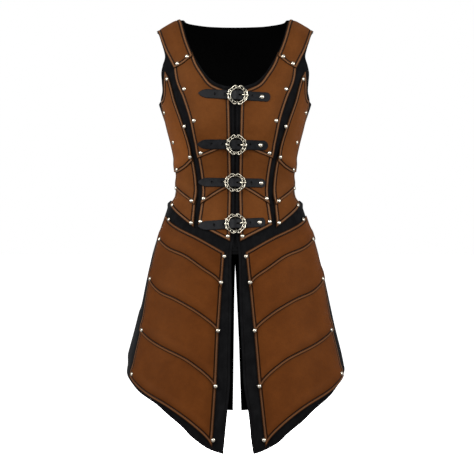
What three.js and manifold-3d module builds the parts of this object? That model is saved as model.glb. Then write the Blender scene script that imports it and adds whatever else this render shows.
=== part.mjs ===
// A sleeveless leather armour vest, filled out as it is when worn: a black cloth bodice and a slit
// skirt, brown leather plates lapped over them like scales, domed rivets, and four strap closures.
// Millimetres, +Z up, the front faces -Y, +X is the wearer's left. The origin is the middle of the
// wearer's shoulder line, where the vest is carried.
import * as THREE from 'three';
import { mergeVertices } from 'three/addons/utils/BufferGeometryUtils.js';
import Module from 'manifold-3d';

const wasm = await Module();
wasm.setup();

// ---------------------------------------------------------------- driving dimensions
const CLOTH = 1.5;              // black cloth wall
const LEATHER = 2;              // brown plate wall
const STRAP = { half: 11, thick: 1.8, point: 23, round: 9, rest: 0.5 };
const TAB = { half: 9, thick: 1.2, reach: 31, lie: 1.1 };
const SEAM = 0.3;               // gap at every seam
const LAY = 0.98;               // air under a piece that lies on another
const LAP = { tuck: 10, flat: 14, ramp: 22, lift: LEATHER + LAY };
const RIVET = { radius: 4.5, height: 2.6, sides: 5, sink: 1.4 };
const STUD = { radius: 5, height: 3, sides: 6, sink: 1 };
const BUCKLE = { middle: 20.3, band: 4, half: 2.1, height: 6.4, lobes: 10, lobe: 1.2, steps: 30, sides: 6 };
const BAR = { radius: 1.2, height: 4.6, reach: 18.5 };
const PRONG = { radius: 1, sides: 6 };
const PUNCH = { from: 2.6, to: 11, half: 1.8 };

// Heights of the layers over the wearer's form, inner face first
const BODICE = [0, CLOTH];
const SKIRT = [CLOTH + LAY, 2 * CLOTH + LAY];
const PLATE = [CLOTH + LAY, CLOTH + LAY + LEATHER];
const TASSET = [SKIRT[1] + LAY, SKIRT[1] + LAY + LEATHER];
const PLACKET = [-LAY - CLOTH, -LAY];

// ---------------------------------------------------------------- the wearer's form
const CHEST = -170;             // level where the chest turns over towards the shoulders
const RIDGE = 14;               // level of the shoulder line beside the neck
const RIDGE_ARC = 232;          // way up over the chest, from CHEST to RIDGE
const NECK_X = 137;             // half the neck opening at the shoulder line
const NECK_ROUND = 12;          // how softly the shoulder starts to fall there
const SHOULDER_SLOPE = 0.61;
const SQUARENESS = 0.154;       // how much fuller than an ellipse a level section is
const TURN = { front: 1.6, back: 2 };
const BUST = { angle: 36, spread: 22, level: -235, height: 55, rise: 11 };

const table = (names, rows) => rows.map(row =>
  Object.fromEntries(names.split(' ').map((n, i) => [n, row[i]])));

const SECTIONS = table('level half front back', [
  [60, 226, 108, 104], [-20, 222, 108, 104], [-100, 200, 108, 104], [CHEST, 183, 109, 104],
  [-190, 179, 111, 103], [-250, 165, 115, 100], [-289, 155, 111, 96], [-328, 147, 104, 93],
  [-376, 142, 97, 92], [-420, 146, 98, 100], [-440, 158, 101, 107], [-464, 167, 107, 116],
  [-542, 193, 120, 134], [-620, 213, 128, 146], [-736, 237, 140, 158], [-814, 255, 150, 166],
  [-900, 268, 160, 176], [-1060, 284, 176, 192]]);

const clamp01 = t => Math.min(1, Math.max(0, t));
const smooth = t => clamp01(t) ** 2 * (3 - 2 * clamp01(t));
const radians = THREE.MathUtils.degToRad;

// A smooth curve through one column of SECTIONS
function section(column, level) {
  let i = 0;
  while (i < SECTIONS.length - 2 && level < SECTIONS[i + 1].level) i++;
  const slope = k => {
    const above = SECTIONS[Math.max(k - 1, 0)];
    const below = SECTIONS[Math.min(k + 1, SECTIONS.length - 1)];
    return (below[column] - above[column]) / (below.level - above.level);
  };
  const [p, q] = [SECTIONS[i], SECTIONS[i + 1]];
  const span = q.level - p.level;
  const t = clamp01((level - p.level) / span);
  const ends = p[column] * (1 + 2 * t) * (1 - t) ** 2 + q[column] * t * t * (3 - 2 * t);
  return ends + span * (slope(i) * t * (1 - t) ** 2 + slope(i + 1) * t * t * (t - 1));
}

// "way" runs up the form in mm: 0 at CHEST, negative below it, RIDGE_ARC at the shoulder line
const levelOf = way => way > 0
  ? CHEST + (RIDGE - CHEST) * Math.sin(Math.min(way, RIDGE_ARC) / RIDGE_ARC * Math.PI / 2) : CHEST + way;
const wayOf = level => level > CHEST
  ? Math.asin(Math.min(1, (level - CHEST) / (RIDGE - CHEST))) * RIDGE_ARC * 2 / Math.PI : level - CHEST;
const beyondNeck = x => (Math.hypot(Math.abs(x) - NECK_X, NECK_ROUND) + Math.abs(x) - NECK_X) / 2;
const shoulderShare = level => smooth((level - CHEST - 10) / (RIDGE - CHEST - 10));
const drop = (x, level) => SHOULDER_SLOPE * beyondNeck(x) * shoulderShare(level);

// The point of the form at an angle round it (0 in front, 90 at the side, 180 behind) and a way up it
function form(angle, way) {
  const level = levelOf(way);
  const [s, c] = [Math.sin(angle), Math.cos(angle)];
  const side = c >= 0 ? 'front' : 'back';
  let depth = section(side, Math.min(level, CHEST));
  if (way > 0) depth *= (1 - clamp01((level - CHEST) / (RIDGE - CHEST)) ** TURN[side]) ** (1 / TURN[side]);
  let y = -depth * c * (1 + SQUARENESS * s * s);
  if (side === 'front') {
    const a = (Math.abs(THREE.MathUtils.radToDeg(angle)) - BUST.angle) / BUST.spread;
    const b = (level - BUST.level) / BUST.height;
    const turned = way > 0 ? Math.cos(way / RIDGE_ARC * Math.PI / 2) : 1;
    y -= BUST.rise * Math.exp(-(a * a + b * b) / 2) * turned;
  }
  const x = section('half', level) * s;
  return new THREE.Vector3(x, y, level - drop(x, level));
}

function normal(angle, way) {
  const [turn, step] = [1e-3, 0.4];
  const top = Math.min(way + step, RIDGE_ARC - 0.2);
  const round = form(angle + turn, way).sub(form(angle - turn, way));
  return round.cross(form(angle, top).sub(form(angle, top - 2 * step))).normalize();
}

const lifted = ([angle, way], height) => form(angle, way).addScaledVector(normal(angle, way), height);

// A place given as {x, z} on the front, {angle, z}, or {x, ridge} at the shoulder line, as [angle, way]
function place({ x, z, angle, ridge, behind = false }) {
  if (ridge) {
    const side = behind ? 'back' : 'front';
    const share = 1 - (SEAM / 2 / section(side, CHEST)) ** TURN[side];
    const way = Math.asin(share ** (1 / TURN[side])) * RIDGE_ARC * 2 / Math.PI;
    const turned = Math.asin(x / section('half', levelOf(way)));
    return [behind ? Math.PI - turned : turned, way];
  }
  const turn = angle === undefined ? undefined : radians(angle);
  let level = z;
  let across = x;
  for (let i = 0; i < 12; i++) {
    across = turn === undefined ? x : section('half', level) * Math.sin(turn);
    level = z + drop(across, level);
  }
  const turned = turn ?? Math.asin(across / section('half', level));
  return [behind ? Math.PI - turned : turned, wayOf(level)];
}

// ---------------------------------------------------------------- walls between two offsets
// A smooth line through places, cut into equal steps of its real length
function line(places, fractions) {
  const flat = places.map(([a, w]) => new THREE.Vector2(a, w));
  const curve = flat.length > 2 ? new THREE.SplineCurve(flat) : new THREE.LineCurve(flat[0], flat[1]);
  const fine = curve.getPoints(24 * (flat.length - 1));
  const lengths = [0];
  for (let i = 1; i < fine.length; i++) {
    lengths.push(lengths[i - 1] + form(...fine[i].toArray()).distanceTo(form(...fine[i - 1].toArray())));
  }
  return fractions.map(share => {
    const goal = share * lengths.at(-1);
    const i = Math.max(1, lengths.findIndex(l => l >= goal - 1e-9));
    const t = clamp01((goal - lengths[i - 1]) / (lengths[i] - lengths[i - 1] || 1));
    return fine[i - 1].clone().lerp(fine[i], t).toArray();
  });
}

const even = steps => Array.from({ length: steps + 1 }, (_, i) => i / steps);

// A side of a piece is one line, or several that meet at corners
const side = stretches => stretches.flatMap(({ points, fractions }, i) =>
  line(points.map(place), fractions).slice(i ? 1 : 0));

// The places of a four-sided piece, row by row from its top edge to its bottom edge
function patch(top, bottom, inner, outer) {
  const [rows, columns] = [inner.length - 1, top.length - 1];
  return inner.map((_, r) => top.map((_, c) => [0, 1].map(k => {
    const [s, t] = [c / columns, r / rows];
    const across = (1 - s) * inner[r][k] + s * outer[r][k];
    const down = (1 - t) * top[c][k] + t * bottom[c][k];
    const corners = (1 - s) * ((1 - t) * top[0][k] + t * bottom[0][k])
      + s * ((1 - t) * top[columns][k] + t * bottom[columns][k]);
    return across + down - corners;
  })));
}

// A closed wall over a patch of points: inner and outer faces, and the edge all round
function wall(faces) {
  const [rows, columns] = [faces[0].length - 1, faces[0][0].length - 1];
  const positions = faces.flatMap(face => face.flatMap(row => row.flatMap(p => p.toArray())));
  const at = (face, r, c) => (face * (rows + 1) + r) * (columns + 1) + c;
  const triangles = [];
  const quad = (a, b, c, d) => triangles.push(a, b, c, a, c, d);
  for (let r = 0; r < rows; r++) for (let c = 0; c < columns; c++) {
    quad(at(1, r, c), at(1, r + 1, c), at(1, r + 1, c + 1), at(1, r, c + 1));
    quad(at(0, r, c), at(0, r, c + 1), at(0, r + 1, c + 1), at(0, r + 1, c));
  }
  for (let c = 0; c < columns; c++) {
    quad(at(0, 0, c), at(1, 0, c), at(1, 0, c + 1), at(0, 0, c + 1));
    quad(at(1, rows, c), at(0, rows, c), at(0, rows, c + 1), at(1, rows, c + 1));
  }
  for (let r = 0; r < rows; r++) {
    quad(at(1, r, 0), at(0, r, 0), at(0, r + 1, 0), at(1, r + 1, 0));
    quad(at(0, r, columns), at(1, r, columns), at(1, r + 1, columns), at(0, r + 1, columns));
  }
  return closed(positions, triangles);
}

// An indexed geometry whose faces point out
function closed(positions, triangles) {
  const point = i => new THREE.Vector3().fromArray(positions, 3 * i);
  let volume = 0;
  for (let i = 0; i < triangles.length; i += 3) {
    const [a, b, c] = [0, 1, 2].map(k => point(triangles[i + k]));
    volume += a.dot(b.cross(c));
  }
  const facing = volume < 0 ? triangles.toReversed() : triangles;
  const geometry = new THREE.BufferGeometry();
  geometry.setAttribute('position', new THREE.Float32BufferAttribute(positions, 3));
  geometry.setIndex(facing);
  return geometry;
}

const mirrored = places => places.map(row => row.map(([angle, way]) => [-angle, way]));
const walled = (places, [low, high], lift = () => 0, sway = p => p) => wall([low, high].map(height =>
  places.map(row => row.map(p => lifted(sway(p), height + lift(p))))));

// ---------------------------------------------------------------- joining and cutting
function solid(geometry) {
  const bare = new THREE.BufferGeometry();
  bare.setAttribute('position', geometry.getAttribute('position'));
  bare.setIndex(geometry.getIndex());
  const merged = mergeVertices(bare, 1e-4);
  return new wasm.Manifold(new wasm.Mesh({
    numProp: 3,
    vertProperties: new Float32Array(merged.getAttribute('position').array),
    triVerts: new Uint32Array(merged.getIndex().array),
  }));
}

function fromSolid(manifold) {
  const { vertProperties, triVerts } = manifold.getMesh();
  return closed(Array.from(vertProperties), Array.from(triVerts));
}

// ---------------------------------------------------------------- materials and the group
const finish = (color, roughness, metalness = 0) =>
  new THREE.MeshStandardMaterial({ color, roughness, metalness });
const FINISHES = {
  cloth: finish(0x191817, 0.95),
  bodiceLeather: finish(0x6e4020, 0.6),
  skirtLeather: finish(0x5f3415, 0.6),
  strapLeather: finish(0x2a2b2c, 0.5),
  metal: finish(0xcfc6b4, 0.35, 0.9),
};

const vest = new THREE.Group();
vest.name = 'leather_armour_vest';

function add(name, geometry, material) {
  const mesh = new THREE.Mesh(geometry, material);
  mesh.name = name;
  vest.add(mesh);
}

// ---------------------------------------------------------------- outlines, on the wearer's left
// The right is their mirror image, but for the slit and the vent, which hang a little to the left,
// and the front hem, which hangs lower on the left.
const NECK_CLOTH = table('x z', [[116, -38], [101.5, -75], [88, -101], [71, -128], [50, -149], [24, -159],
  [3, -161]]);
const ARMHOLE = table('x z', [[178, -45], [168, -80], [173, -102], [177, -122], [175.5, -145],
  [175, -168]]);
const UNDERARM = { angle: 89.9, z: -191 };
const WAIST_CLOTH = table('angle z', [[89.9, -446], [71, -456], [50, -480], [32, -500], [15, -524]]);
const SKIRT_TOP = table('angle z', [[89.9, -430], [72, -436], [50, -459], [32, -478], [15, -498]]);
const HEM = {
  right: table('angle z', [[89.9, -836], [70, -860], [57, -883], [44, -905], [35, -930], [27, -955],
    [21, -980], [13, -1005]]),
  left: table('angle z', [[89.9, -836], [70, -862], [57, -889], [44, -917], [35, -945], [27, -969],
    [21, -992], [13, -1011]]),
};
const BACK_NECK = table('x z', [[118, 8], [80, 3], [40, 1]]);
const BACK_ARMHOLE = table('x z', [[177, -50], [170, -92], [172, -140]]);
const BACK_WAIST = table('angle z', [[89.9, -446], [60, -441], [30, -438]]);
const BACK_SKIRT_TOP = table('angle z', [[89.9, -430], [60, -427], [30, -425]]);
const BACK_HEM = table('angle z', [[89.9, -836], [65, -872], [40, -918], [15, -952]]);
// The slit in front and the vent behind, each with its own edge on the right and on the left
const SLIT = table('z right left', [[-518, 3, 3], [-556, 8.3, 8.3], [-663, 8, 10], [-788, 11, 16],
  [-859, 12, 20], [-925, 18, 31], [-985, 24, 37], [-1017, 27, 42]]);
const VENT = table('z right left', [[-424, 0.2, 0.2], [-520, 0.2, 0.2], [-575, 0.2, 0.2], [-600, 0.7, 0.9],
  [-640, 3, 4], [-780, 4.5, 9], [-962, 6, 15]]);

const NECK_PLATE = table('x z', [[117.5, -39], [103.5, -78], [90, -105], [73, -133], [56, -154.5],
  [29, -167.5]]);
const SHOULDER_OUTER = table('x z', [[176.5, -45], [162, -79]]);
const SHOULDER_LOW = table('x z', [[99.5, -86.5], [122.6, -105], [143, -115]]);
const CENTRE_LOW = [
  table('x z', [[11, -295], [34.4, -306], [60, -317], [87.5, -328]]),
  table('x z', [[9, -396], [21.9, -401.5], [52, -420], [81.5, -440]]),
  table('x z', [[11, -527], [48, -508], [86, -487.5]]),
];
const CHEST_OUTER = table('x z', [[139, -145], [122.5, -187], [106, -239], [96.5, -285]]);
const SIDE_TIP = { x: 166.5, z: -119 };
const SIDE_OUTER = table('angle z', [[63.5, -150], [69, -180], [80, -206]]);
const SIDE_INNER = table('x z', [[153.5, -142], [141, -189], [124, -237.6], [108.5, -284]]);
const SIDE_LOW = [
  table('x angle z', [[97.5, , -333], [115, , -349.5], [132, , -359], [, 80, -357]]),
  table('x angle z', [[94, , -441], [114, , -424], [134, , -404], [, 76, -400]]),
  table('x angle z', [[95, , -494], [125, , -470], [147, , -447], [, 72.5, -441]]),
];
const TASSET_TOP = table('angle z', [[7, -551], [31, -512], [71, -473], [85.5, -465]]);
const TASSET_LOW = [
  table('angle z', [[8.4, -642], [12, -617], [22, -593], [36, -565], [53, -549], [72, -530], [83, -523]]),
  table('angle z', [[9.8, -747], [12, -730], [18, -710], [27, -688], [40, -666], [56, -649], [79, -616]]),
  table('angle z', [[10.6, -874], [14.3, -849], [21.5, -823], [31.5, -799], [52, -770], [74, -741]]),
  table('angle z', [[12.6, -1003], [15, -984], [20, -962], [28, -935], [39, -908], [55, -882], [75, -850]]),
];
// The tassets' inner edges hang to the wearer's left, by this many degrees at the foot, and their
// outer edges on the wearer's right are drawn to the front
const SWAY = { top: -556, foot: -1003, turn: 2.1, outer: 80, drawn: 7.5, rise: 4 };

// Rivets, at the corners of the plates
const RIVETS = {
  shoulder: table('x z', [[113, -88], [135, -104]]),
  centre_1: table('x z', [[119, -165], [95.5, -241], [79, -315]]),
  centre_2: table('x z', [[73, -425]]),
  centre_3: table('x z', [[80, -480], [17, -514]]),
  side_1: table('x z', [[160, -138], [166, -215], [144.5, -287], [117.5, -253], [103.5, -324],
    [134, -352]]),
  side_2: table('x z', [[136, -398], [101, -431]]),
  side_3: table('x z', [[145, -441], [101.5, -483]]),
  tasset_1: table('x z', [[25, -561], [33, -622], [158, -475], [179, -523]]),
  tasset_2: table('x z', [[42, -734], [202, -617]]),
  tasset_3: table('x z', [[50, -862], [222, -739]]),
  tasset_4: table('x z', [[58, -985], [246, -843]]),
};

const behind = points => points.map(p => ({ ...p, behind: true }));
const tucked = points => points.map(p => {
  const [angle, way] = place(p);
  return [angle, way + LAP.tuck];
});

// ---------------------------------------------------------------- black cloth
// Rows and columns close up where the form turns fastest: at the shoulder line, the waist and the sides
const UPPER_ROWS = [0, 0.025, 0.06, 0.11, 0.18, 0.3, 0.45, 0.62, 0.8, 1];
const LOWER_ROWS = [0, 0.12, 0.24, 0.36, 0.47, 0.57, 0.66, 0.74, 0.81, 0.87, 0.92, 0.965, 1];
const SKIRT_ROWS = [0, 0.025, 0.05, 0.08, 0.12, 0.18, 0.26, 0.36, 0.48, 0.61, 0.74, 0.87, 1];
const COLUMNS = [0, 0.14, 0.28, 0.41, 0.53, 0.64, 0.74, 0.83, 0.92, 1];
const BACK = {
  upper: [0, 0.06, 0.14, 0.26, 0.42, 0.62, 0.8, 1],
  lower: [0, 0.2, 0.4, 0.57, 0.7, 0.81, 0.9, 0.96, 1],
  skirt: [0, 0.025, 0.055, 0.1, 0.17, 0.28, 0.45, 0.7, 1],
  columns: even(7),
  neckColumns: 4,
};
const edgeOf = (rows, wearer) => rows.map(row => ({ x: row[wearer], z: row.z }));
const run = (points, fractions) => ({ points, fractions });

const SHOULDER = [{ x: NECK_X - 4, ridge: true }, { x: 190, ridge: true }];
const FRONT_POINT = { x: 3, z: -541 };

function bodiceFront() {
  const top = side([run(SHOULDER, COLUMNS)]);
  const bottom = side([run([FRONT_POINT, ...WAIST_CLOTH.toReversed()], COLUMNS)]);
  const inner = side([run([SHOULDER[0], ...NECK_CLOTH], UPPER_ROWS),
    run([NECK_CLOTH.at(-1), FRONT_POINT], LOWER_ROWS)]);
  const outer = side([run([SHOULDER[1], ...ARMHOLE, UNDERARM], UPPER_ROWS),
    run([UNDERARM, WAIST_CLOTH[0]], LOWER_ROWS)]);
  return patch(top, bottom, inner, outer);
}

function bodiceBack() {
  const centre = z => ({ angle: 0.08, z });
  const [nape, armLevel, waist] = [0.5, -191, -437].map(centre);
  const neck = [nape, ...BACK_NECK.toReversed(), SHOULDER[0]];
  const top = side([run(behind(neck), even(BACK.neckColumns)),
    run(behind(SHOULDER), even(BACK.columns.length - 1 - BACK.neckColumns))]);
  const bottom = side([run(behind([waist, ...BACK_WAIST.toReversed()]), BACK.columns)]);
  const inner = side([run(behind([nape, armLevel]), BACK.upper),
    run(behind([armLevel, waist]), BACK.lower)]);
  const outer = side([run(behind([SHOULDER[1], ...BACK_ARMHOLE, UNDERARM]), BACK.upper),
    run(behind([UNDERARM, BACK_WAIST[0]]), BACK.lower)]);
  return patch(top, bottom, inner, outer);
}

function skirt(edge, top, hem, columns, rows) {
  return patch(side([run([edge[0], ...top.toReversed()], columns)]),
    side([run([edge.at(-1), ...hem.toReversed()], columns)]),
    side([run(edge, rows)]), side([run([top[0], hem[0]], rows)]));
}

const SIDES = [{ wearer: 'right', turn: mirrored }, { wearer: 'left', turn: places => places }];
for (const { wearer, turn } of SIDES) {
  add(`bodice_front_${wearer}`, walled(turn(bodiceFront()), BODICE), FINISHES.cloth);
  add(`bodice_back_${wearer}`, walled(turn(bodiceBack()), BODICE), FINISHES.cloth);
  const front = skirt(edgeOf(SLIT, wearer), SKIRT_TOP, HEM[wearer], COLUMNS, SKIRT_ROWS);
  add(`skirt_front_${wearer}`, walled(turn(front), SKIRT), FINISHES.cloth);
  const backLines = [edgeOf(VENT, wearer), BACK_SKIRT_TOP, BACK_HEM].map(behind);
  const back = skirt(...backLines, BACK.columns, BACK.skirt);
  add(`skirt_back_${wearer}`, walled(turn(back), SKIRT), FINISHES.cloth);
}

// The placket closes the front from behind, with its rows level with the rows of the fronts
const PLACKET_COLUMNS = [-22, -FRONT_POINT.x, FRONT_POINT.x, 22];
const placketTop = place({ x: 0, z: -165 })[1];
const placketLow = place({ x: 0, z: -556 })[1];
const frontTop = NECK_CLOTH.at(-1).z;
const frontWays = LOWER_ROWS.map(t => wayOf(frontTop + t * (FRONT_POINT.z - frontTop)));
const placketWays = [placketTop, ...frontWays.filter(way => way < placketTop), placketLow];
const placket = placketWays.map(way =>
  PLACKET_COLUMNS.map(x => [Math.asin(x / section('half', levelOf(way))), way]));
add('placket', walled(placket, PLACKET), FINISHES.cloth);

// ---------------------------------------------------------------- brown leather plates
// Near its lower edge a plate rises over the top edge of the plate below it
function liftOver(low) {
  const edge = line(low.map(place), even(48));
  return ([angle, way]) => {
    const turn = Math.abs(angle);
    const i = Math.max(1, edge.findIndex(p => p[0] >= turn));
    const [p, q] = turn > edge.at(-1)[0] ? [edge.at(-1), edge.at(-1)] : [edge[i - 1], edge[i]];
    const share = clamp01((turn - p[0]) / (q[0] - p[0] || 1));
    const above = way - (p[1] + share * (q[1] - p[1]));
    return above < -2 ? 0 : LAP.lift * (1 - smooth((above - LAP.flat) / LAP.ramp));
  };
}

// Rows close up towards the lower edge, where the wall bends
const lapRows = steps => [...even(steps - 2).slice(0, -1).map(t => t * 0.82), 0.82, 0.9, 1];

function rivet(here, height, { radius, height: rise, sides, sink }) {
  const profile = [[0, -sink], [radius, -sink], [radius, 0], [0, rise]];
  const dome = new THREE.LatheGeometry(profile.map(p => new THREE.Vector2(...p)), sides);
  const up = new THREE.Vector3(0, 1, 0);
  dome.applyQuaternion(new THREE.Quaternion().setFromUnitVectors(up, normal(...here)));
  dome.translate(...lifted(here, height).toArray());
  return solid(dome);
}

function plate(name, places, layer, low, material, sway = p => p) {
  const lift = liftOver(low);
  for (const { wearer, turn } of SIDES) {
    let piece = solid(walled(turn(places), layer, lift, sway));
    for (const spot of RIVETS[name]) {
      const [angle, way] = place(spot);
      const here = [wearer === 'right' ? -angle : angle, way];
      piece = piece.add(rivet(sway(here), layer[1] + lift(here), RIVET));
    }
    add(`${name}_${wearer}`, fromSolid(piece), material);
  }
}

// A plate whose sides run straight from the ends of its top edge to the ends of its bottom edge
function straightPlate(top, low, columns, rows) {
  const bottom = line(low.map(place), columns);
  const [inner, outer] = [[top[0], bottom[0]], [top.at(-1), bottom.at(-1)]];
  return patch(top, bottom, line(inner, lapRows(rows)), line(outer, lapRows(rows)));
}

const underEdge = (low, columns) => line(tucked(low), columns);

const SHOULDER_ROWS = [0, 0.05, 0.13, 0.27, 0.45, 0.65, 0.82, 0.91, 1];
const shoulderTop = [{ x: NECK_X - 2.5, ridge: true }, { x: 189, ridge: true }];
const shoulderInner = [shoulderTop[0], NECK_PLATE[0], SHOULDER_LOW[0]];
const shoulderOuter = [shoulderTop[1], ...SHOULDER_OUTER, SHOULDER_LOW.at(-1)];
const shoulderPlaces = patch(side([run(shoulderTop, even(4))]), side([run(SHOULDER_LOW, even(4))]),
  side([run(shoulderInner, SHOULDER_ROWS)]), side([run(shoulderOuter, SHOULDER_ROWS)]));
plate('shoulder', shoulderPlaces, PLATE, SHOULDER_LOW, FINISHES.bodiceLeather);

// The chest plate runs from under the shoulder plate down along the neckline and the front edge
const chestTop = underEdge(SHOULDER_LOW, even(6));
const chestBottom = line(CENTRE_LOW[0].map(place), even(6));
const chestCorner = place({ x: 14, z: -173 });
const chestInner = [...line([chestTop[0], ...NECK_PLATE.slice(2).map(place), chestCorner], even(6)),
  ...line([chestCorner, chestBottom[0]], lapRows(6)).slice(1)];
const chestOuter = line([chestTop.at(-1), ...CHEST_OUTER.map(place), chestBottom.at(-1)],
  [...even(6).map(t => t * 0.5), ...lapRows(6).slice(1).map(t => 0.5 + t / 2)]);
const chestPlaces = patch(chestTop, chestBottom, chestInner, chestOuter);
plate('centre_1', chestPlaces, PLATE, CENTRE_LOW[0], FINISHES.bodiceLeather);
for (const k of [1, 2]) {
  const places = straightPlate(underEdge(CENTRE_LOW[k - 1], even(6)), CENTRE_LOW[k], even(6), 7);
  plate(`centre_${k + 1}`, places, PLATE, CENTRE_LOW[k], FINISHES.bodiceLeather);
}

// The first side plate comes to a point beside the armhole
const sideTop = side([run([{ x: SIDE_TIP.x - 4, z: SIDE_TIP.z - 4 }, SIDE_TIP], even(5))]);
const sideBottom = line(SIDE_LOW[0].map(place), even(5));
const sidePlaces = patch(sideTop, sideBottom,
  line([sideTop[0], ...SIDE_INNER.map(place), sideBottom[0]], lapRows(10)),
  line([sideTop.at(-1), ...SIDE_OUTER.map(place), sideBottom.at(-1)], lapRows(10)));
plate('side_1', sidePlaces, PLATE, SIDE_LOW[0], FINISHES.bodiceLeather);
for (const k of [1, 2]) {
  const places = straightPlate(underEdge(SIDE_LOW[k - 1], even(6)), SIDE_LOW[k], even(6), 9);
  plate(`side_${k + 1}`, places, PLATE, SIDE_LOW[k], FINISHES.bodiceLeather);
}

// Four lapped tassets a side on the skirt
const TASSET_COLUMNS = [0, 0.14, 0.28, 0.42, 0.55, 0.67, 0.78, 0.89, 1];
function swayed([angle, way]) {
  const down = clamp01((SWAY.top - levelOf(way)) / (SWAY.top - SWAY.foot));
  const inward = clamp01(1 - Math.abs(angle) / radians(SWAY.outer));
  const drawn = angle < 0 ? SWAY.drawn * (angle / radians(SWAY.outer)) ** SWAY.rise : 0;
  return [angle + radians(SWAY.turn * down * inward + drawn), way];
}
TASSET_LOW.forEach((low, k) => {
  const top = k ? underEdge(TASSET_LOW[k - 1], TASSET_COLUMNS)
    : line(TASSET_TOP.map(place), TASSET_COLUMNS);
  const places = straightPlate(top, low, TASSET_COLUMNS, 6);
  plate(`tasset_${k + 1}`, places, TASSET, low, FINISHES.skirtLeather, swayed);
});

// ---------------------------------------------------------------- strap closures
// Each strap is studded to the left front, passes up through its ring, over the bar and down again.
// A tab from the right front loops round the bar and holds the ring; the prong hangs on the same bar.
const CLOSURES = table('x z tilt from to stud', [
  [6, -182.7, -3.6, -92, 76, 57], [2.8, -296, -1.2, -89, 72, 56],
  [0, -386.2, -1, -86, 70, 60], [1, -485.6, 3.5, -86.5, 69, 56]]);

// How high a strap's underside runs over the plates below it
const STRAP_LIE = table('along rise', [[-44, STRAP.rest], [-34, 2.3], [-14, 2.3], [-8, 4.8], [-3.5, 7.5],
  [0, 8], [3.5, 7.5], [8, 4.8], [14, 2.3], [26, 2.2], [38, STRAP.rest]]);
const PRONG_RUN = table('along height', [[6, 5.7], [10.5, 8.4], [15, 9.9], [22.5, 9.9]]);

const centreLifts = CENTRE_LOW.map(liftOver);
const covered = spot => PLATE[1] + Math.max(...centreLifts.map(lift => lift(spot)));

function closureFrame({ x, z, tilt }) {
  const [c, s] = [Math.cos(radians(tilt)), Math.sin(radians(tilt))];
  const spot = (along, across) => place({ x: x + along * c - across * s, z: z + along * s + across * c });
  const [alongs, acrosses] = [[-TAB.reach, -BUCKLE.middle, 0, BUCKLE.middle], [-TAB.half, 0, TAB.half]];
  const base = Math.max(...alongs.flatMap(a => acrosses.map(b => covered(spot(a, b)))));
  return { spot, base, at: (along, across, height) => lifted(spot(along, across), base + height) };
}

function between(rows, along) {
  const i = rows.findIndex(row => row.along >= along);
  if (i === 0) return rows[0].rise;
  if (i < 0) return rows.at(-1).rise;
  const [p, q] = [rows[i - 1], rows[i]];
  return p.rise + (q.rise - p.rise) * (along - p.along) / (q.along - p.along);
}

function strap(frame, { from, to, stud }) {
  const shares = [0.02, 0.15, 0.36, 0.64, 1];
  const lies = STRAP_LIE.map(row => row.along);
  const stations = [...shares.map(t => from + t * STRAP.point), lies[0], lies[1],
    (lies[1] + lies[2]) / 2, ...lies.slice(2), (lies.at(-1) + to - STRAP.round) / 2,
    ...[1, 0.6, 0.25, 0.03].map(t => to - t * STRAP.round)];
  const half = along => {
    const point = (1 - (1 - clamp01((along - from) / STRAP.point)) ** 2.2) ** 0.8;
    const round = Math.sqrt(1 - clamp01((along - to + STRAP.round) / STRAP.round) ** 2);
    return STRAP.half * Math.min(point, round);
  };
  const ground = along => {
    if (Math.abs(along) < 30) return frame.base;
    const near = [-6, 0, 6].flatMap(d => [-1, 0, 1].map(w => frame.spot(along + d, w * half(along))));
    return Math.max(...near.map(covered));
  };
  const faces = [0, STRAP.thick].map(thick => stations.map(along => [-1, 0, 1].map(w =>
    lifted(frame.spot(along, w * half(along)), ground(along) + between(STRAP_LIE, along) + thick))));
  const punched = solid(wall(faces)).subtract(solid(block(frame, PUNCH, 1, 12)));
  const top = ground(stud) + between(STRAP_LIE, stud) + STRAP.thick;
  return fromSolid(punched.add(rivet(frame.spot(stud, 0), top, STUD)));
}

// A block in a closure's own directions, for cutting
const block = (frame, { from, to, half }, low, high) => wall([low, high].map(height =>
  [from, to].map(along => [-half, half].map(across => frame.at(along, across, height)))));

function tab(frame) {
  const radius = BAR.radius + SEAM + TAB.thick / 2;
  const turns = [255, 297, 339, 381, 423, 465, 507].map(radians);
  const loop = turns.map(t => [radius * Math.cos(t), BAR.height + radius * Math.sin(t)]);
  const points = [[-TAB.reach, TAB.lie], [-18, TAB.lie], [-5, TAB.lie + 0.3], ...loop];
  const path = points.map(p => new THREE.Vector2(...p));
  const faces = [-0.5, 0.5].map(share => path.map((p, i) => {
    const way = path[Math.min(i + 1, path.length - 1)].clone().sub(path[Math.max(i - 1, 0)]).normalize();
    const edge = new THREE.Vector2(-way.y, way.x).multiplyScalar(share * TAB.thick).add(p);
    return [-1, -0.2, 0.2, 1].map(w => frame.at(edge.x, w * TAB.half, edge.y));
  }));
  const slot = { from: -5, to: 5, half: PUNCH.half };
  return fromSolid(solid(wall(faces)).subtract(solid(block(frame, slot, 0, 9))));
}

// A closed tube of rings of points; without caps its ends join each other
function tube(rings, capped) {
  const sides = rings[0].length;
  const triangles = [];
  for (let r = 0; r < rings.length - (capped ? 1 : 0); r++) for (let k = 0; k < sides; k++) {
    const next = (r + 1) % rings.length;
    const corners = [[r, k], [r, k + 1], [next, k + 1], [next, k]];
    const [a, b, c, d] = corners.map(([i, j]) => i * sides + j % sides);
    triangles.push(a, b, c, a, c, d);
  }
  if (capped) for (let k = 1; k < sides - 1; k++) {
    const last = (rings.length - 1) * sides;
    triangles.push(0, k + 1, k, last, last + k, last + k + 1);
  }
  return closed(rings.flatMap(ring => ring.flatMap(p => p.toArray())), triangles);
}

const circle = sides => Array.from({ length: sides }, (_, k) => 2 * Math.PI * k / sides);

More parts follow.
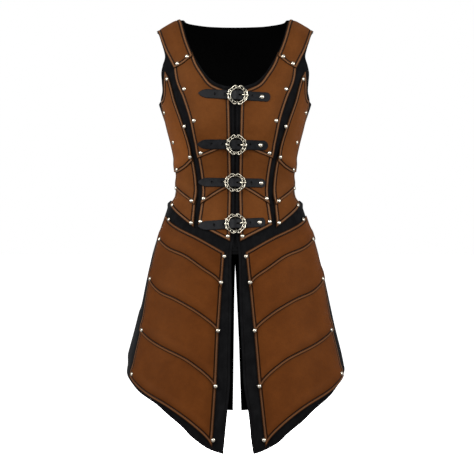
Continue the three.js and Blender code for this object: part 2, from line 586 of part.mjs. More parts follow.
function buckle(frame) {
  const rings = circle(BUCKLE.steps).map(turn => circle(BUCKLE.sides).map(round => {
    const outward = Math.max(0, Math.cos(round)) * BUCKLE.lobe * Math.cos(BUCKLE.lobes * turn);
    const radius = BUCKLE.middle + BUCKLE.band * Math.cos(round) + outward;
    const height = BUCKLE.height + BUCKLE.half * Math.sin(round);
    return frame.at(radius * Math.cos(turn), radius * Math.sin(turn), height);
  }));
  const bar = [-1, -0.5, 0, 0.5, 1].map(share => circle(6).map(round =>
    frame.at(BAR.radius * Math.cos(round), share * BAR.reach, BAR.height + BAR.radius * Math.sin(round))));
  return fromSolid(solid(tube(rings, false)).add(solid(tube(bar, true))));
}

function prong(frame) {
  const radius = BAR.radius + SEAM + PRONG.radius;
  const turns = [150, 195, 240, 285, 330].map(radians);
  const hook = turns.map(t => [radius * Math.cos(t), BAR.height + radius * Math.sin(t)]);
  const points = [...hook, ...PRONG_RUN.map(p => [p.along, p.height])];
  const path = points.map(p => new THREE.Vector2(...p));
  return tube(path.map((p, i) => {
    const way = path[Math.min(i + 1, path.length - 1)].clone().sub(path[Math.max(i - 1, 0)]).normalize();
    return circle(PRONG.sides).map(round => frame.at(p.x - way.y * PRONG.radius * Math.cos(round),
      PRONG.radius * Math.sin(round), p.y + way.x * PRONG.radius * Math.cos(round)));
  }), true);
}

CLOSURES.forEach((closure, k) => {
  const frame = closureFrame(closure);
  add(`tab_${k + 1}`, tab(frame), FINISHES.strapLeather);
  add(`strap_${k + 1}`, strap(frame, closure), FINISHES.strapLeather);
  add(`buckle_${k + 1}`, buckle(frame), FINISHES.metal);
  add(`prong_${k + 1}`, prong(frame), FINISHES.metal);
});

export default vest;
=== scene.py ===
import math

import bpy
import numpy as np
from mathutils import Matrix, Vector, noise


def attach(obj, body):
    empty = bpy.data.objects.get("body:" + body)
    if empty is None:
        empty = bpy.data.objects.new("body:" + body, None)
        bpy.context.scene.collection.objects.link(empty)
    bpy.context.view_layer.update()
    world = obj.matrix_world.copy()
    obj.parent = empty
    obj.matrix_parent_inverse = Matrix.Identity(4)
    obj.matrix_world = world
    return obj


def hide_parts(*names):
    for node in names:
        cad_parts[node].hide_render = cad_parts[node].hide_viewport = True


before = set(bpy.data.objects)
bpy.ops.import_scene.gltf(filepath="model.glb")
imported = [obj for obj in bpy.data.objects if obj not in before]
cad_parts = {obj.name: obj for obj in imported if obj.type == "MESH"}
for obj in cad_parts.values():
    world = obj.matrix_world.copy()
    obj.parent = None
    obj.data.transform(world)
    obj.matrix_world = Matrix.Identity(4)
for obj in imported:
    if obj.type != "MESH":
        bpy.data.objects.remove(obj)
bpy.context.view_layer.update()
scene = bpy.context.scene

# ---------------------------------------------------------------- Camera
# A long lens, level with the waist and straight in front, so that the whole vest is seen without
# any lean. Places are in metres here and in millimetres everywhere below.
CAMERA_PLACE = (0.0045, -3.3, -0.515)
CAMERA_LENS = 102.8
camera_data = bpy.data.cameras.new("camera")
camera_data.lens = CAMERA_LENS
camera_data.sensor_width = 36
camera = bpy.data.objects.new("camera", camera_data)
camera.location = CAMERA_PLACE
camera.rotation_euler = (math.pi / 2, 0, 0)
scene.collection.objects.link(camera)
scene.camera = camera

# ---------------------------------------------------------------- Bodice cloth
# Four panels of black cloth with a short suede nap, sewn at the shoulders, the sides and the centre
# back, and open in front. The vest keeps the shape it has on a wearer, so every piece is made on one
# form: sections at named levels, with the chest rolled over to the shoulder line.
MM = 0.001
CLOTH = 1.5
LAY = 0.98                      # air under a piece that lies on another
SEWN = 0.02                     # left between panels that are sewn together
CHEST = -170
RIDGE = 14
RIDGE_ARC = 232
NECK_X = 137
NECK_ROUND = 12
SHOULDER_SLOPE = 0.61
SLOPE_START = 10                # above CHEST
SQUARENESS = 0.154
FRONT_TURN, BACK_TURN = 1.6, 2
BUST = {"angle": 36, "spread": 22, "level": -235, "height": 55, "rise": 11}
LEVEL, HALF, FRONT, BACK = range(4)
SECTIONS = np.array([
    (60, 226, 108, 104), (-20, 222, 108, 104), (-100, 200, 108, 104), (CHEST, 183, 109, 104),
    (-190, 179, 111, 103), (-250, 165, 115, 100), (-289, 155, 111, 96), (-328, 147, 104, 93),
    (-376, 142, 97, 92), (-420, 146, 98, 100), (-440, 158, 101, 107), (-464, 167, 107, 116),
    (-542, 193, 120, 134), (-620, 213, 128, 146), (-736, 237, 140, 158), (-814, 255, 150, 166),
    (-900, 268, 160, 176), (-1060, 284, 176, 192)], float)


def smooth(t):
    t = np.clip(t, 0, 1)
    return t * t * (3 - 2 * t)


def section(column, level):
    """A smooth curve through one column of SECTIONS."""
    levels, values = SECTIONS[:, LEVEL], SECTIONS[:, column]
    first = np.maximum(np.arange(len(levels)) - 1, 0)
    last = np.minimum(np.arange(len(levels)) + 1, len(levels) - 1)
    slopes = (values[last] - values[first]) / (levels[last] - levels[first])
    i = np.clip(np.searchsorted(-levels, -np.asarray(level, float)) - 1, 0, len(levels) - 2)
    span = levels[i + 1] - levels[i]
    t = np.clip((level - levels[i]) / span, 0, 1)
    ends = values[i] * (1 + 2 * t) * (1 - t) ** 2 + values[i + 1] * t * t * (3 - 2 * t)
    return ends + span * (slopes[i] * t * (1 - t) ** 2 + slopes[i + 1] * t * t * (t - 1))


def level_of(way):
    """The level at a way up the form: 0 at CHEST, negative below it, RIDGE_ARC at the shoulders."""
    over = CHEST + (RIDGE - CHEST) * np.sin(np.clip(way, 0, RIDGE_ARC) / RIDGE_ARC * np.pi / 2)
    return np.where(way > 0, over, CHEST + way)


def way_of(level):
    risen = np.clip((level - CHEST) / (RIDGE - CHEST), 0, 1)
    return np.where(level > CHEST, np.arcsin(risen) * RIDGE_ARC * 2 / np.pi, level - CHEST)


def drop(x, level):
    """How far the shoulder falls away beside the neck."""
    beyond = (np.hypot(np.abs(x) - NECK_X, NECK_ROUND) + np.abs(x) - NECK_X) / 2
    low = CHEST + SLOPE_START
    return SHOULDER_SLOPE * beyond * smooth((level - low) / (RIDGE - low))


def form(places):
    """Points of the form at places: an angle round it, 0 in front, and a way up it."""
    angle, way = places[..., 0], places[..., 1]
    level = level_of(way)
    low = np.minimum(level, CHEST)
    in_front = np.cos(angle) >= 0
    turn = np.where(in_front, FRONT_TURN, BACK_TURN)
    risen = np.clip((level - CHEST) / (RIDGE - CHEST), 0, 1)
    depth = np.where(in_front, section(FRONT, low), section(BACK, low))
    depth = depth * (1 - risen ** turn) ** (1 / turn)
    y = -depth * np.cos(angle) * (1 + SQUARENESS * np.sin(angle) ** 2)
    a = (np.abs(np.degrees(angle)) - BUST["angle"]) / BUST["spread"]
    b = (level - BUST["level"]) / BUST["height"]
    over = np.cos(np.clip(way, 0, RIDGE_ARC) / RIDGE_ARC * np.pi / 2)
    y = y - np.where(in_front, BUST["rise"] * np.exp(-(a * a + b * b) / 2) * over, 0)
    x = section(HALF, level) * np.sin(angle)
    return np.stack([x, y, level - drop(x, level)], -1)


def normal(places):
    turn, step = np.array([1e-3, 0]), 0.4
    top = np.minimum(places[..., 1] + step, RIDGE_ARC - 0.2)
    above = np.stack([places[..., 0], top], -1)
    across = form(places + turn) - form(places - turn)
    up = form(above) - form(above - [0, 2 * step])
    out = np.cross(across, up)
    return out / np.linalg.norm(out, axis=-1, keepdims=True)


def lifted(places, height):
    places = np.asarray(places, float)
    return form(places) + normal(places) * np.asarray(height, float)[..., None]


SETTLED = 12                    # rounds after which a level below the shoulder's slope holds still


def at_x(x, z):
    """The place on the front at x and z."""
    level = z
    for _ in range(SETTLED):
        level = z + drop(x, level)
    return np.stack([np.arcsin(x / section(HALF, level)), way_of(level)], -1)


def at_turn(turn, z):
    """The place at an angle in degrees, at z."""
    angle, level = np.radians(turn), z
    for _ in range(SETTLED):
        level = z + drop(section(HALF, level) * np.sin(angle), level)
    return np.stack([angle + 0 * level, way_of(level)], -1)


def at_ridge(x, turn=FRONT_TURN):
    """The place at the shoulder line, on the front's side or, with BACK_TURN, on the back's."""
    column = FRONT if turn == FRONT_TURN else BACK
    share = (1 - (SEWN / 2 / float(section(column, CHEST))) ** turn) ** (1 / turn)
    way = math.asin(share) * RIDGE_ARC * 2 / math.pi
    return [math.asin(x / float(section(HALF, level_of(way)))), way]


def across(points):
    return at_x(*np.array(points, float).T)


def around(points):
    return at_turn(*np.array(points, float).T)


def behind(places):
    return [[math.pi - angle, way] for angle, way in places]


def line(places, count=65):
    """A smooth line through places, in equal steps of its real length."""
    p = np.asarray(places, float)
    t = np.linspace(0, len(p) - 1, 24 * (len(p) - 1) + 1)
    i = np.minimum(t.astype(int), len(p) - 2)
    u = (t - i)[:, None]
    if len(p) > 2:
        before, after = p[np.maximum(i - 1, 0)], p[np.minimum(i + 2, len(p) - 1)]
        lean, leave = (p[i + 1] - before) / 2, (after - p[i]) / 2
        fine = ((2 * p[i] - 2 * p[i + 1] + lean + leave) * u ** 3
                + (3 * p[i + 1] - 3 * p[i] - 2 * lean - leave) * u ** 2 + lean * u + p[i])
    else:
        fine = p[i] * (1 - u) + p[i + 1] * u
    run = np.linalg.norm(np.diff(form(fine), axis=0), axis=1).cumsum()
    goals = np.linspace(0, run[-1], count)
    return np.stack([np.interp(goals, np.append(0, run), fine[:, k]) for k in (0, 1)], -1)


BAND_ROOM = 2.6                 # how many times the bands' own width a panel has to be to hold them


class Panel:
    """A four-sided piece on the form. A long side may be two lines that meet at a corner."""

    def __init__(self, top, bottom, inner, outer, corner=0.4):
        self.top, self.bottom = line(top), line(bottom)
        self.inner, self.outer = [self.stretches(s, corner) for s in (inner, outer)]

    def stretches(self, side, corner):
        if np.ndim(side[0][0]) == 0:
            return line(side)
        upper, lower = line(side[0]), line(side[1])
        t = np.concatenate([np.linspace(0, corner, 65), np.linspace(corner, 1, 65)[1:]])
        both = np.concatenate([upper, lower[1:]])
        return np.stack([np.interp(np.linspace(0, 1, 129), t, both[:, k]) for k in (0, 1)], -1)

    def at(self, s, t):
        def on(side, share):
            even = np.linspace(0, 1, len(side))
            return np.stack([np.interp(share, even, side[:, k]) for k in (0, 1)], -1)
        s1, t1 = s[..., None], t[..., None]
        corners = ((1 - s1) * ((1 - t1) * self.top[0] + t1 * self.bottom[0])
                   + s1 * ((1 - t1) * self.top[-1] + t1 * self.bottom[-1]))
        return ((1 - s1) * on(self.inner, t) + s1 * on(self.outer, t)
                + (1 - t1) * on(self.top, s) + t1 * on(self.bottom, s) - corners)

    def grid(self, spacing, bands):
        """Rows of places, with lines at the bands' distances from every edge."""
        even = np.linspace(0, 1, 33)
        points = form(self.at(*np.meshgrid(even, even)))
        widths = np.linalg.norm(np.diff(points, axis=1), axis=2).sum(1)
        heights = np.linalg.norm(np.diff(points, axis=0), axis=2).sum(0)

        def steps(lengths, inside):
            near = np.outer(np.minimum(1, lengths / (BAND_ROOM * bands[-1])), bands)
            share = np.linspace(0, 1, inside + 1)[1:-1]
            middle = near[:, -1:] + (lengths[:, None] - 2 * near[:, -1:]) * share
            far = lengths[:, None] - near[:, ::-1]
            return np.concatenate([near, middle, far], 1) / lengths[:, None]
        columns = max(2, round(widths.max() / spacing))
        rows = max(2, round(heights.max() / spacing))
        t = steps(heights.mean(keepdims=True), rows)[0]
        s = steps(widths.mean(keepdims=True), columns)[0]
        s_grid = steps(np.interp(t, even, widths), columns)
        t_grid = steps(np.interp(s, even, heights), rows).T
        return self.at(s_grid, t_grid)

    def distance(self, places, sides):
        """How far each place is from the nearest of the named sides, in mm."""
        edges = {"top": self.top, "bottom": self.bottom, "inner": self.inner, "outer": self.outer}
        points = form(places)
        nearest = np.full(points.shape[:-1], np.inf)
        for side in sides:
            nearest = np.minimum(nearest, far_from(points, form(edges[side])))
        return nearest


def far_from(points, path):
    """The distance of each point from a path."""
    nearest = np.full(points.shape[:-1], np.inf)
    for a, b in zip(path[:-1], path[1:]):
        along = b - a
        t = np.clip(((points - a) @ along) / max(along @ along, 1e-9), 0, 1)
        nearest = np.minimum(nearest, np.linalg.norm(points - a - t[..., None] * along, axis=-1))
    return nearest


def add_mesh(name, points, faces, values=None):
    mesh = bpy.data.meshes.new(name)
    mesh.from_pydata((np.asarray(points).reshape(-1, 3) * MM).tolist(), [], faces)
    mesh.shade_smooth()
    for key, value in (values or {}).items():
        stored = mesh.attributes.new(key, "FLOAT", "POINT")
        stored.data.foreach_set("value", np.ravel(value).astype(np.float32))
    piece = bpy.data.objects.new(name, mesh)
    scene.collection.objects.link(piece)
    return piece


def wall(name, outer, inner, flip, values):
    """A closed wall between two grids of points."""
    rows, columns = outer.shape[:2]
    index = np.arange(rows * columns).reshape(rows, columns)
    corners = [index[:-1, :-1], index[1:, :-1], index[1:, 1:], index[:-1, 1:]]
    face = np.stack(corners, -1).reshape(-1, 4)
    edge = np.concatenate([index[0, :-1], index[:-1, -1], index[-1, :0:-1], index[:0:-1, 0]])
    after = np.roll(edge, -1)
    far = rows * columns
    rim = np.stack([edge + far, edge, after, after + far], -1)
    faces = np.concatenate([face, face[:, ::-1] + far, rim])
    if flip:
        faces = faces[:, ::-1]
    both = {key: np.concatenate([np.ravel(value)] * 2) for key, value in values.items()}
    both["inside"] = np.repeat([0, 1], far)
    points = np.concatenate([outer.reshape(-1, 3), inner.reshape(-1, 3)])
    return add_mesh(name, points, faces.tolist(), both)


def mirrored(places):
    return places * [-1, 1]


SIDES = {"right": mirrored, "left": lambda places: places}


# Soft creases in the cloth, pressed in where it is free: a trough or a ridge from one place
# to another, given as an angle and a level at each end, then its width and its depth
CREASES = [
    (104, -118, 131, -196, 11, -3.6), (-106, -126, -127, -214, 12, -3.4),
    (118, -205, 146, -262, 13, 3.2), (-114, -228, -150, -272, 12, 3.4),
    (142, -346, 179, -372, 8, -3.6), (-139, -360, -174, -379, 8, -3.4),
    (148, -386, 179, -399, 9, 3.2), (-145, -397, -176, -408, 8, 3.0),
    (100, -322, 130, -360, 10, -3.2), (-99, -334, -134, -353, 10, -3.4),
    (158, -120, 166, -300, 20, 3.4), (-154, -140, -167, -320, 22, 3.2),
    (172, -180, 174, -330, 12, -2.6), (-170, -200, -176, -340, 12, -2.4),
    (90, -232, 90, -189, 5, 6.0), (-90, -230, -90, -189, 5, 6.0),
    (89, -427, 91, -437, 5, 5.0), (-89, -427, -91, -437, 5, 5.0),
    (92, -560, 90, -850, 15, 3.6), (-91, -590, -91, -672, 12, -4.5),
    (-90, -700, -91, -800, 13, 5.2), (104, -600, 105, -870, 14, -6.0),
    (-104, -570, -106, -870, 15, -6.5), (116, -500, 119, -885, 12, 6.6),
    (-115, -540, -118, -885, 12, 6.0), (128, -580, 132, -915, 15, -8.0),
    (-127, -560, -131, -915, 16, -8.5), (141, -470, 145, -940, 12, 7.0),
    (-140, -505, -143, -940, 13, 6.4), (152, -600, 156, -960, 15, -7.5),
    (-151, -570, -155, -960, 16, -8.0), (163, -460, 166, -965, 12, 6.4),
    (-163, -490, -165, -965, 12, 6.0), (174, -640, 174, -965, 9, -4.2),
    (-174, -630, -174, -965, 9, -4.0)]
CREASE_START = 0.25             # how deep a crease is at its upper end, of its depth at the lower
CREST = 12                      # from the foot of a deep trough to the top of a high ridge


def creased(places):
    """How far the cloth stands off the form at each place."""
    points = form(places)
    height = np.zeros(points.shape[:-1])
    for turn, top, foot_turn, foot, width, depth in CREASES:
        path = form(np.linspace(at_turn(turn, top), at_turn(foot_turn, foot), 13))
        down = np.clip((points[..., 2] - path[0, 2]) / (path[-1, 2] - path[0, 2]), 0, 1)
        strength = CREASE_START + (1 - CREASE_START) * down
        height += depth * strength * np.exp(-(far_from(points, path) / width) ** 2 / 2)
    return height


def ripple(points, size, height):
    """A gentle unevenness, as large across as size."""
    flat = points.reshape(-1, 3) / size
    return height * np.array([noise.noise(Vector(p)) for p in flat]).reshape(points.shape[:-1])


class Wire:
    """A link in a material. Sums and products add Math nodes, and node() adds any other."""

    def __init__(self, tree, socket):
        self.tree = tree
        self.socket = socket

    def node(self, kind, settings, inputs, output=0):
        made = self.tree.nodes.new("ShaderNode" + kind)
        for key, value in settings.items():
            setattr(made, key, value)
        for key, value in inputs.items():
            if isinstance(value, Wire):
                self.tree.links.new(value.socket, made.inputs[key])
            else:
                made.inputs[key].default_value = value
        return Wire(self.tree, made.outputs[output])

    def math(self, operation, *values):
        return self.node("Math", {"operation": operation}, dict(enumerate(values)))

    def __add__(self, other):
        return self.math("ADD", self, other)

    def __sub__(self, other):
        return self.math("SUBTRACT", self, other)

    def __rsub__(self, other):
        return self.math("SUBTRACT", other, self)

    def __mul__(self, other):
        return self.math("MULTIPLY", self, other)

    def __abs__(self):
        return self.math("ABSOLUTE", self)

    __radd__ = __add__
    __rmul__ = __mul__

    def rise(self, low, high):
        """0 below low, 1 above high, and smooth between them."""
        ends = {"Value": self, "From Min": low, "From Max": high}
        return self.node("MapRange", {"interpolation_type": "SMOOTHSTEP"}, ends)

    def pick(self, first, second):
        """A colour between two, by this value."""
        settings = {"data_type": "RGBA", "clamp_factor": True}
        return self.node("Mix", settings, {0: self, 6: first, 7: second}, output=2)

    def shaded(self, darkest, brightest, amount):
        """This colour, made darker or brighter by an amount from 0 to 1."""
        grey = amount.pick((darkest,) * 3 + (1,), (brightest,) * 3 + (1,))
        settings = {"data_type": "RGBA", "blend_type": "MULTIPLY"}
        return self.node("Mix", settings, {0: 1.0, 6: self, 7: grey}, output=2)

    def grain(self, size, detail=2, roughness=0.5, stretch=(1, 1, 1)):
        """Noise on the surface, with features as large as size in mm."""
        scaled = self.node("VectorMath", {"operation": "MULTIPLY"},
                           {0: self, 1: tuple(k / (size * MM) for k in stretch)})
        values = {"Vector": scaled, "Scale": 1, "Detail": detail, "Roughness": roughness}
        return self.node("TexNoise", {}, values)

    def cells(self, size):
        """Cells on the surface, such as the pebbles of leather grain."""
        scaled = self.node("VectorMath", {"operation": "SCALE"}, {0: self, "Scale": 1 / (size * MM)})
        return self.node("TexVoronoi", {}, {"Vector": scaled, "Scale": 1})

    def bump(self, distance, under=None):
        """A Bump node of this height in mm, over another one."""
        inputs = {"Height": self, "Distance": distance * MM, "Strength": 1.0}
        if under:
            inputs["Normal"] = under
        return self.node("Bump", {}, inputs)

    def value_of(self, attribute):
        """A value that was stored on the mesh."""
        return self.node("Attribute", {"attribute_name": attribute}, {}, output=2)


def shade(red, green, blue):
    """A display colour, from 0 to 255 each, as the shader's own linear one."""
    shares = [c / 255 for c in (red, green, blue)]
    linear = [c / 12.92 if c <= 0.04045 else ((c + 0.055) / 1.055) ** 2.4 for c in shares]
    return (*linear, 1.0)


def new_finish(name, constants):
    """A material, its shader and the surface's own coordinates."""
    material = bpy.data.materials.new(name)
    material.use_nodes = True
    tree = material.node_tree
    shader = tree.nodes["Principled BSDF"]
    for key, value in constants.items():
        shader.inputs[key].default_value = value
    place = Wire(tree, tree.nodes.new("ShaderNodeTexCoord").outputs["Object"])
    return material, shader, place


def lay_on(shader, wires):
    for key, wire in wires.items():
        wire.tree.links.new(wire.socket, shader.inputs[key])


NAP_BLACK = shade(13, 13, 14)
NAP_BRUSHED = shade(20, 20, 21)
# Near black, for the dark thread and as painted shade on the cloth's inner face
DARK_THREAD_AND_INSIDE_SHADE = shade(3, 3, 3)


def cloth_finish(name):
    material, shader, place = new_finish(name, {
        "Sheen Weight": 0.015, "Sheen Roughness": 0.4, "Specular IOR Level": 0.02})
    edge = place.value_of("edge")
    brushed = place.grain(16, 4, 0.6, (1, 1, 0.6)).rise(0.3, 0.8)
    lint = place.grain(1.1, 3, 0.7)
    # Painted shade and painted light on the folds: the cloth is darker in the troughs of its creases
    # and paler on their crests, by the stored crest height
    worn = place.value_of("crest").rise(0.15, 0.9)
    stitched = 1 - abs(edge - HEM["stitch"]).rise(0.15, 0.75)
    color = brushed.pick(NAP_BLACK, NAP_BRUSHED).shaded(0.72, 1.25, lint).shaded(0.35, 1.9, worn)
    color = (stitched * 0.8).pick(color, DARK_THREAD_AND_INSIDE_SHADE)
    # The cloth's inner face is painted near black, as painted shade inside the vest
    color = place.value_of("inside").pick(color, DARK_THREAD_AND_INSIDE_SHADE)
    nap = place.grain(0.55, 3, 0.65).bump(0.16, place.grain(5.5, 3, 0.55).bump(0.35))
    lay_on(shader, {"Base Color": color, "Roughness": 0.97 - 0.12 * brushed, "Normal": nap})
    return material


# The edges are turned in and stitched down, which makes them a little thicker, and the seams are
# drawn in and felled
HEM = {"round": 0.6, "stitch": 6.5, "turned": 0.35}
FELL = {"drawn": 1.0, "half": 1.2, "stitch": 5.2, "turned": 0.4}
THREAD = {"sink": 0.45, "half": 0.7, "fade": 1.5}
HEM_BANDS = np.array([0, 0.25, 0.7, 2.5, 5.2, 5.9, 6.5, 7.1, 7.8, 10])
CLOTH_SPACING = 5.0
CLOTH_WAVE = (70, 0.35)


def rounded(distance, radius):
    """How far a round edge has fallen away, at a distance from it."""
    left = np.clip(1 - distance / radius, 0, 1)
    return radius * (1 - np.sqrt(1 - left ** 2))


def sewn_down(distance, fold):
    """The height of cloth that is turned in beside an edge, and of the stitches that hold it."""
    past = distance - fold["stitch"]
    doubled = fold["turned"] * (1 - smooth(past / THREAD["fade"]))
    return doubled - THREAD["sink"] * np.exp(-(past / THREAD["half"]) ** 2)


def dress(piece, material, slot, *nodes):
    piece.data.materials.append(material)
    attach(piece, "root")
    if nodes:
        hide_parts(*nodes)


def cloth_panel(name, node, panel, wearer, layer, hems, seams):
    """One panel of cloth on the form."""
    places = panel.grid(CLOTH_SPACING, HEM_BANDS)
    from_hem = panel.distance(places, hems)
    from_seam = panel.distance(places, seams)
    worn = SIDES[wearer](places)
    folds = creased(worn)
    stand = folds + ripple(form(worn), *CLOTH_WAVE)
    hem = sewn_down(from_hem, HEM) - rounded(from_hem, HEM["round"])
    seam = sewn_down(from_seam, FELL) - FELL["drawn"] * np.exp(-(from_seam / FELL["half"]) ** 2)
    outer = lifted(worn, layer[1] + stand + hem + seam)
    inner = lifted(worn, layer[0] + stand)
    sewn = np.minimum(from_hem, from_seam + HEM["stitch"] - FELL["stitch"])
    # The crest height is stored for the painted shade and light on the folds
    values = {"edge": sewn, "crest": 0.5 + folds / CREST}
    piece = wall(name, outer, inner, wearer == "right", values)
    dress(piece, black_cloth, "cloth", node)


NECK_CLOTH = across([(116, -38), (101.5, -75), (88, -101), (71, -128), (50, -149), (24, -159),
                     (3, -161)])
ARMHOLE = across([(178, -45), (168, -80), (173, -102), (177, -122), (175.5, -145), (175, -168)])
# The panels overlap by a hair at the side and centre-back seams
UNDERARM = at_turn(90.2, -191)
WAIST_CLOTH = around([(90.2, -446), (71, -456), (50, -480), (32, -500), (15, -524)])
FRONT_POINT = at_x(3, -541)
BACK_NECK = across([(118, 8), (80, 3), (40, 1)])
BACK_ARMHOLE = across([(177, -50), (170, -92), (172, -140)])
BACK_WAIST = around([(90.2, -446), (60, -441), (30, -438)])
NAPE, ARM_LEVEL, BACK_POINT = [at_turn(-0.1, z) for z in (0.5, -191, -437)]
SHOULDER_X = (NECK_X - 4, 190)
BODICE = (0, CLOTH)

black_cloth = cloth_finish("black napped cloth")
shoulder_front = [at_ridge(x) for x in SHOULDER_X]
shoulder_back = behind([at_ridge(x, BACK_TURN) for x in SHOULDER_X])
bodice_front = Panel(shoulder_front, [FRONT_POINT, *WAIST_CLOTH[::-1]],
                     [[shoulder_front[0], *NECK_CLOTH], [NECK_CLOTH[-1], FRONT_POINT]],
                     [[shoulder_front[1], *ARMHOLE, UNDERARM], [UNDERARM, WAIST_CLOTH[0]]])
bodice_back = Panel([*behind([NAPE, *BACK_NECK[::-1]]), *shoulder_back],
                    behind([BACK_POINT, *BACK_WAIST[::-1]]),
                    [behind([NAPE, ARM_LEVEL]), behind([ARM_LEVEL, BACK_POINT])],
                    [[shoulder_back[1], *behind([*BACK_ARMHOLE, UNDERARM])],
                     behind([UNDERARM, BACK_WAIST[0]])])
for wearer in SIDES:
    cloth_panel(f"cloth_front_{wearer}", f"bodice_front_{wearer}", bodice_front, wearer, BODICE,
                ["inner", "bottom"], ["outer", "top"])
    cloth_panel(f"cloth_back_{wearer}", f"bodice_back_{wearer}", bodice_back, wearer, BODICE,
                ["top", "bottom"], ["inner", "outer"])

# ---------------------------------------------------------------- Placket
# A strip of the same cloth, sewn behind the opening so that nothing shows between the two fronts.
PLACKET_HALF = 22
PLACKET_ENDS = (-165, -556)
PLACKET_LAYER = (-LAY - CLOTH, -LAY)
placket = Panel(*[[at_x(x, z) for x in (-PLACKET_HALF, PLACKET_HALF)] for z in PLACKET_ENDS],
                *[[at_x(x, z) for z in PLACKET_ENDS] for x in (-PLACKET_HALF, PLACKET_HALF)])
cloth_panel("cloth_placket", "placket", placket, "left", PLACKET_LAYER,
            ["inner", "outer", "bottom"], [])

# ---------------------------------------------------------------- Skirt cloth
# Four flared panels of the same cloth hang from the waist seam and lie over the bodice's lower edge.
# The front is slit below the point of the waist, and the centre-back seam opens into a vent.
SKIRT = (CLOTH + LAY, 2 * CLOTH + LAY)
SKIRT_TOP = around([(90.2, -430), (72, -436), (50, -459), (32, -478), (15, -498)])
# The hem hangs lower on the left front than on the right
HEM_LINE = {
    "right": around([(90.2, -836), (70, -860), (57, -883), (44, -905), (35, -930), (27, -955),
                     (21, -980), (13, -1005)]),
    "left": around([(90.2, -836), (70, -862), (57, -889), (44, -917), (35, -945), (27, -969),
                    (21, -992), (13, -1011)])}
BACK_SKIRT_TOP = around([(90.2, -430), (60, -427), (30, -425)])
BACK_HEM = around([(90.2, -836), (65, -872), (40, -918), (15, -952)])
SLIT_LEVELS = (-518, -556, -663, -788, -859, -925, -985, -1017)
SLIT = {"right": (3, 8.3, 8, 11, 12, 18, 24, 27), "left": (3, 8.3, 10, 16, 20, 31, 37, 42)}
VENT_LEVELS = (-424, -520, -575, -600, -640, -780, -962)
VENT = {"right": (-0.2, -0.2, -0.2, 0.5, 1.6, 3.6, 5.6),
        "left": (-0.2, -0.2, -0.2, 0.7, 2.6, 9, 15)}


def skirt(edge, top, hem):
    return Panel([edge[0], *top[::-1]], [edge[-1], *hem[::-1]], edge, [top[0], hem[0]])


for wearer in SIDES:
    slit = at_x(*np.array([SLIT[wearer], SLIT_LEVELS]))
    front = skirt(slit, SKIRT_TOP, HEM_LINE[wearer])
    cloth_panel(f"cloth_skirt_front_{wearer}", f"skirt_front_{wearer}", front, wearer, SKIRT,
                ["inner", "top", "bottom"], ["outer"])
    vent = behind(at_x(*np.array([VENT[wearer], VENT_LEVELS])))
    back = skirt(vent, behind(BACK_SKIRT_TOP), behind(BACK_HEM))
    cloth_panel(f"cloth_skirt_back_{wearer}", f"skirt_back_{wearer}", back, wearer, SKIRT,
                ["inner", "bottom"], ["outer", "top"])

# ---------------------------------------------------------------- Bodice leather
# Plates of 2 mm saddle-brown leather, lapped from the shoulder down like scales. Each has a bevelled
# margin left paler than the hide, outside a groove with a dark saddle stitch in it, and its lower
# edge rides up over the plate below.
LEATHER = 2
PLATE = (CLOTH + LAY, CLOTH + LAY + LEATHER)
LAP = {"tuck": 10, "flat": 14, "ramp": 22, "lift": LEATHER + LAY, "past": 2}
MARGIN = {"groove": 7.0, "half": 1.3, "sink": 0.85, "swell": 0.3, "spread": 2.2, "round": 0.9,
          "crown": 0.55, "crown_at": 9.0}
MARGIN_BANDS = np.array([0, 0.08, 0.3, 0.9, 2.4, 4.4, 5.6, 6.3, 7.0, 7.7, 8.4, 10, 13])
PLATE_SPACING = 5.5
PLATE_WAVE = (45, 0.25)


def lift_over(low):
    """How high a plate rises near its lower edge, over the top edge of the next plate."""
    edge = line(low)

    def lift(places):
        foot = np.interp(np.abs(places[..., 0]), edge[:, 0], edge[:, 1])
        above = places[..., 1] - foot
        raised = LAP["lift"] * (1 - smooth((above - LAP["flat"]) / LAP["ramp"]))
        return np.where(above < -LAP["past"], 0, raised)
    return lift


def tooled(distance, from_edge):
    """The height of a plate's face: round edge, swollen margin, groove, and a crowned middle."""
    groove = MARGIN["sink"] * np.exp(-((distance - MARGIN["groove"]) / MARGIN["half"]) ** 2)
    swell = MARGIN["swell"] * np.exp(-((distance - MARGIN["groove"] / 2) / MARGIN["spread"]) ** 2)
    crown = MARGIN["crown"] * smooth((distance - MARGIN["groove"]) / MARGIN["crown_at"])
    return swell + crown - groove - rounded(from_edge, MARGIN["round"])


SHINE_BROWN = (1, 0.6, 0.34, 1)


def leather_finish(name, hide, hide_dark, margin, groove):
    material, shader, place = new_finish(name, {
        "Specular IOR Level": 0.1, "Specular Tint": SHINE_BROWN})
    edge = place.value_of("edge")
    cloudy = place.grain(55, 4, 0.55)
    mottled = place.grain(9, 4, 0.6)
    pebbles = place.cells(1.5)
    on_margin = 1 - edge.rise(MARGIN["groove"] - 1.3, MARGIN["groove"] - 0.5)
    in_groove = 1 - abs(edge - MARGIN["groove"]).rise(1.1, 2.5)
    # Near the free edges the groove's dark colour is laid on: dark edge dye, and painted shadow
    # along the edge
    dyed_and_shaded_edge = 1 - edge.rise(1.0, 2.8)
    color = cloudy.rise(0.3, 0.72).pick(hide_dark, hide)
    # Mottled, and darker towards the free edges than in the middle of each plate
    color = color.shaded(0.86, 1.14, mottled).shaded(0.86, 1.04, edge.rise(6, 36))
    # Each plate's stored lightness along it: partly the hide's own colour, partly painted light and
    # shade
    color = color.shaded(0.5, 1.5, place.value_of("tone_and_light"))
    scuffed = on_margin * (0.6 + 0.5 * place.grain(4, 3, 0.7))
    color = scuffed.pick(color, margin)
    color = (in_groove * 0.96).pick(color, groove)
    color = (dyed_and_shaded_edge * 0.92).pick(color, groove)
    grained = pebbles.bump(0.2, place.grain(0.7, 3, 0.6).bump(0.1, place.grain(16, 3).bump(0.5)))
    rough = 0.5 + 0.16 * mottled + 0.2 * in_groove
    lay_on(shader, {"Base Color": color, "Roughness": rough, "Normal": grained})
    return material
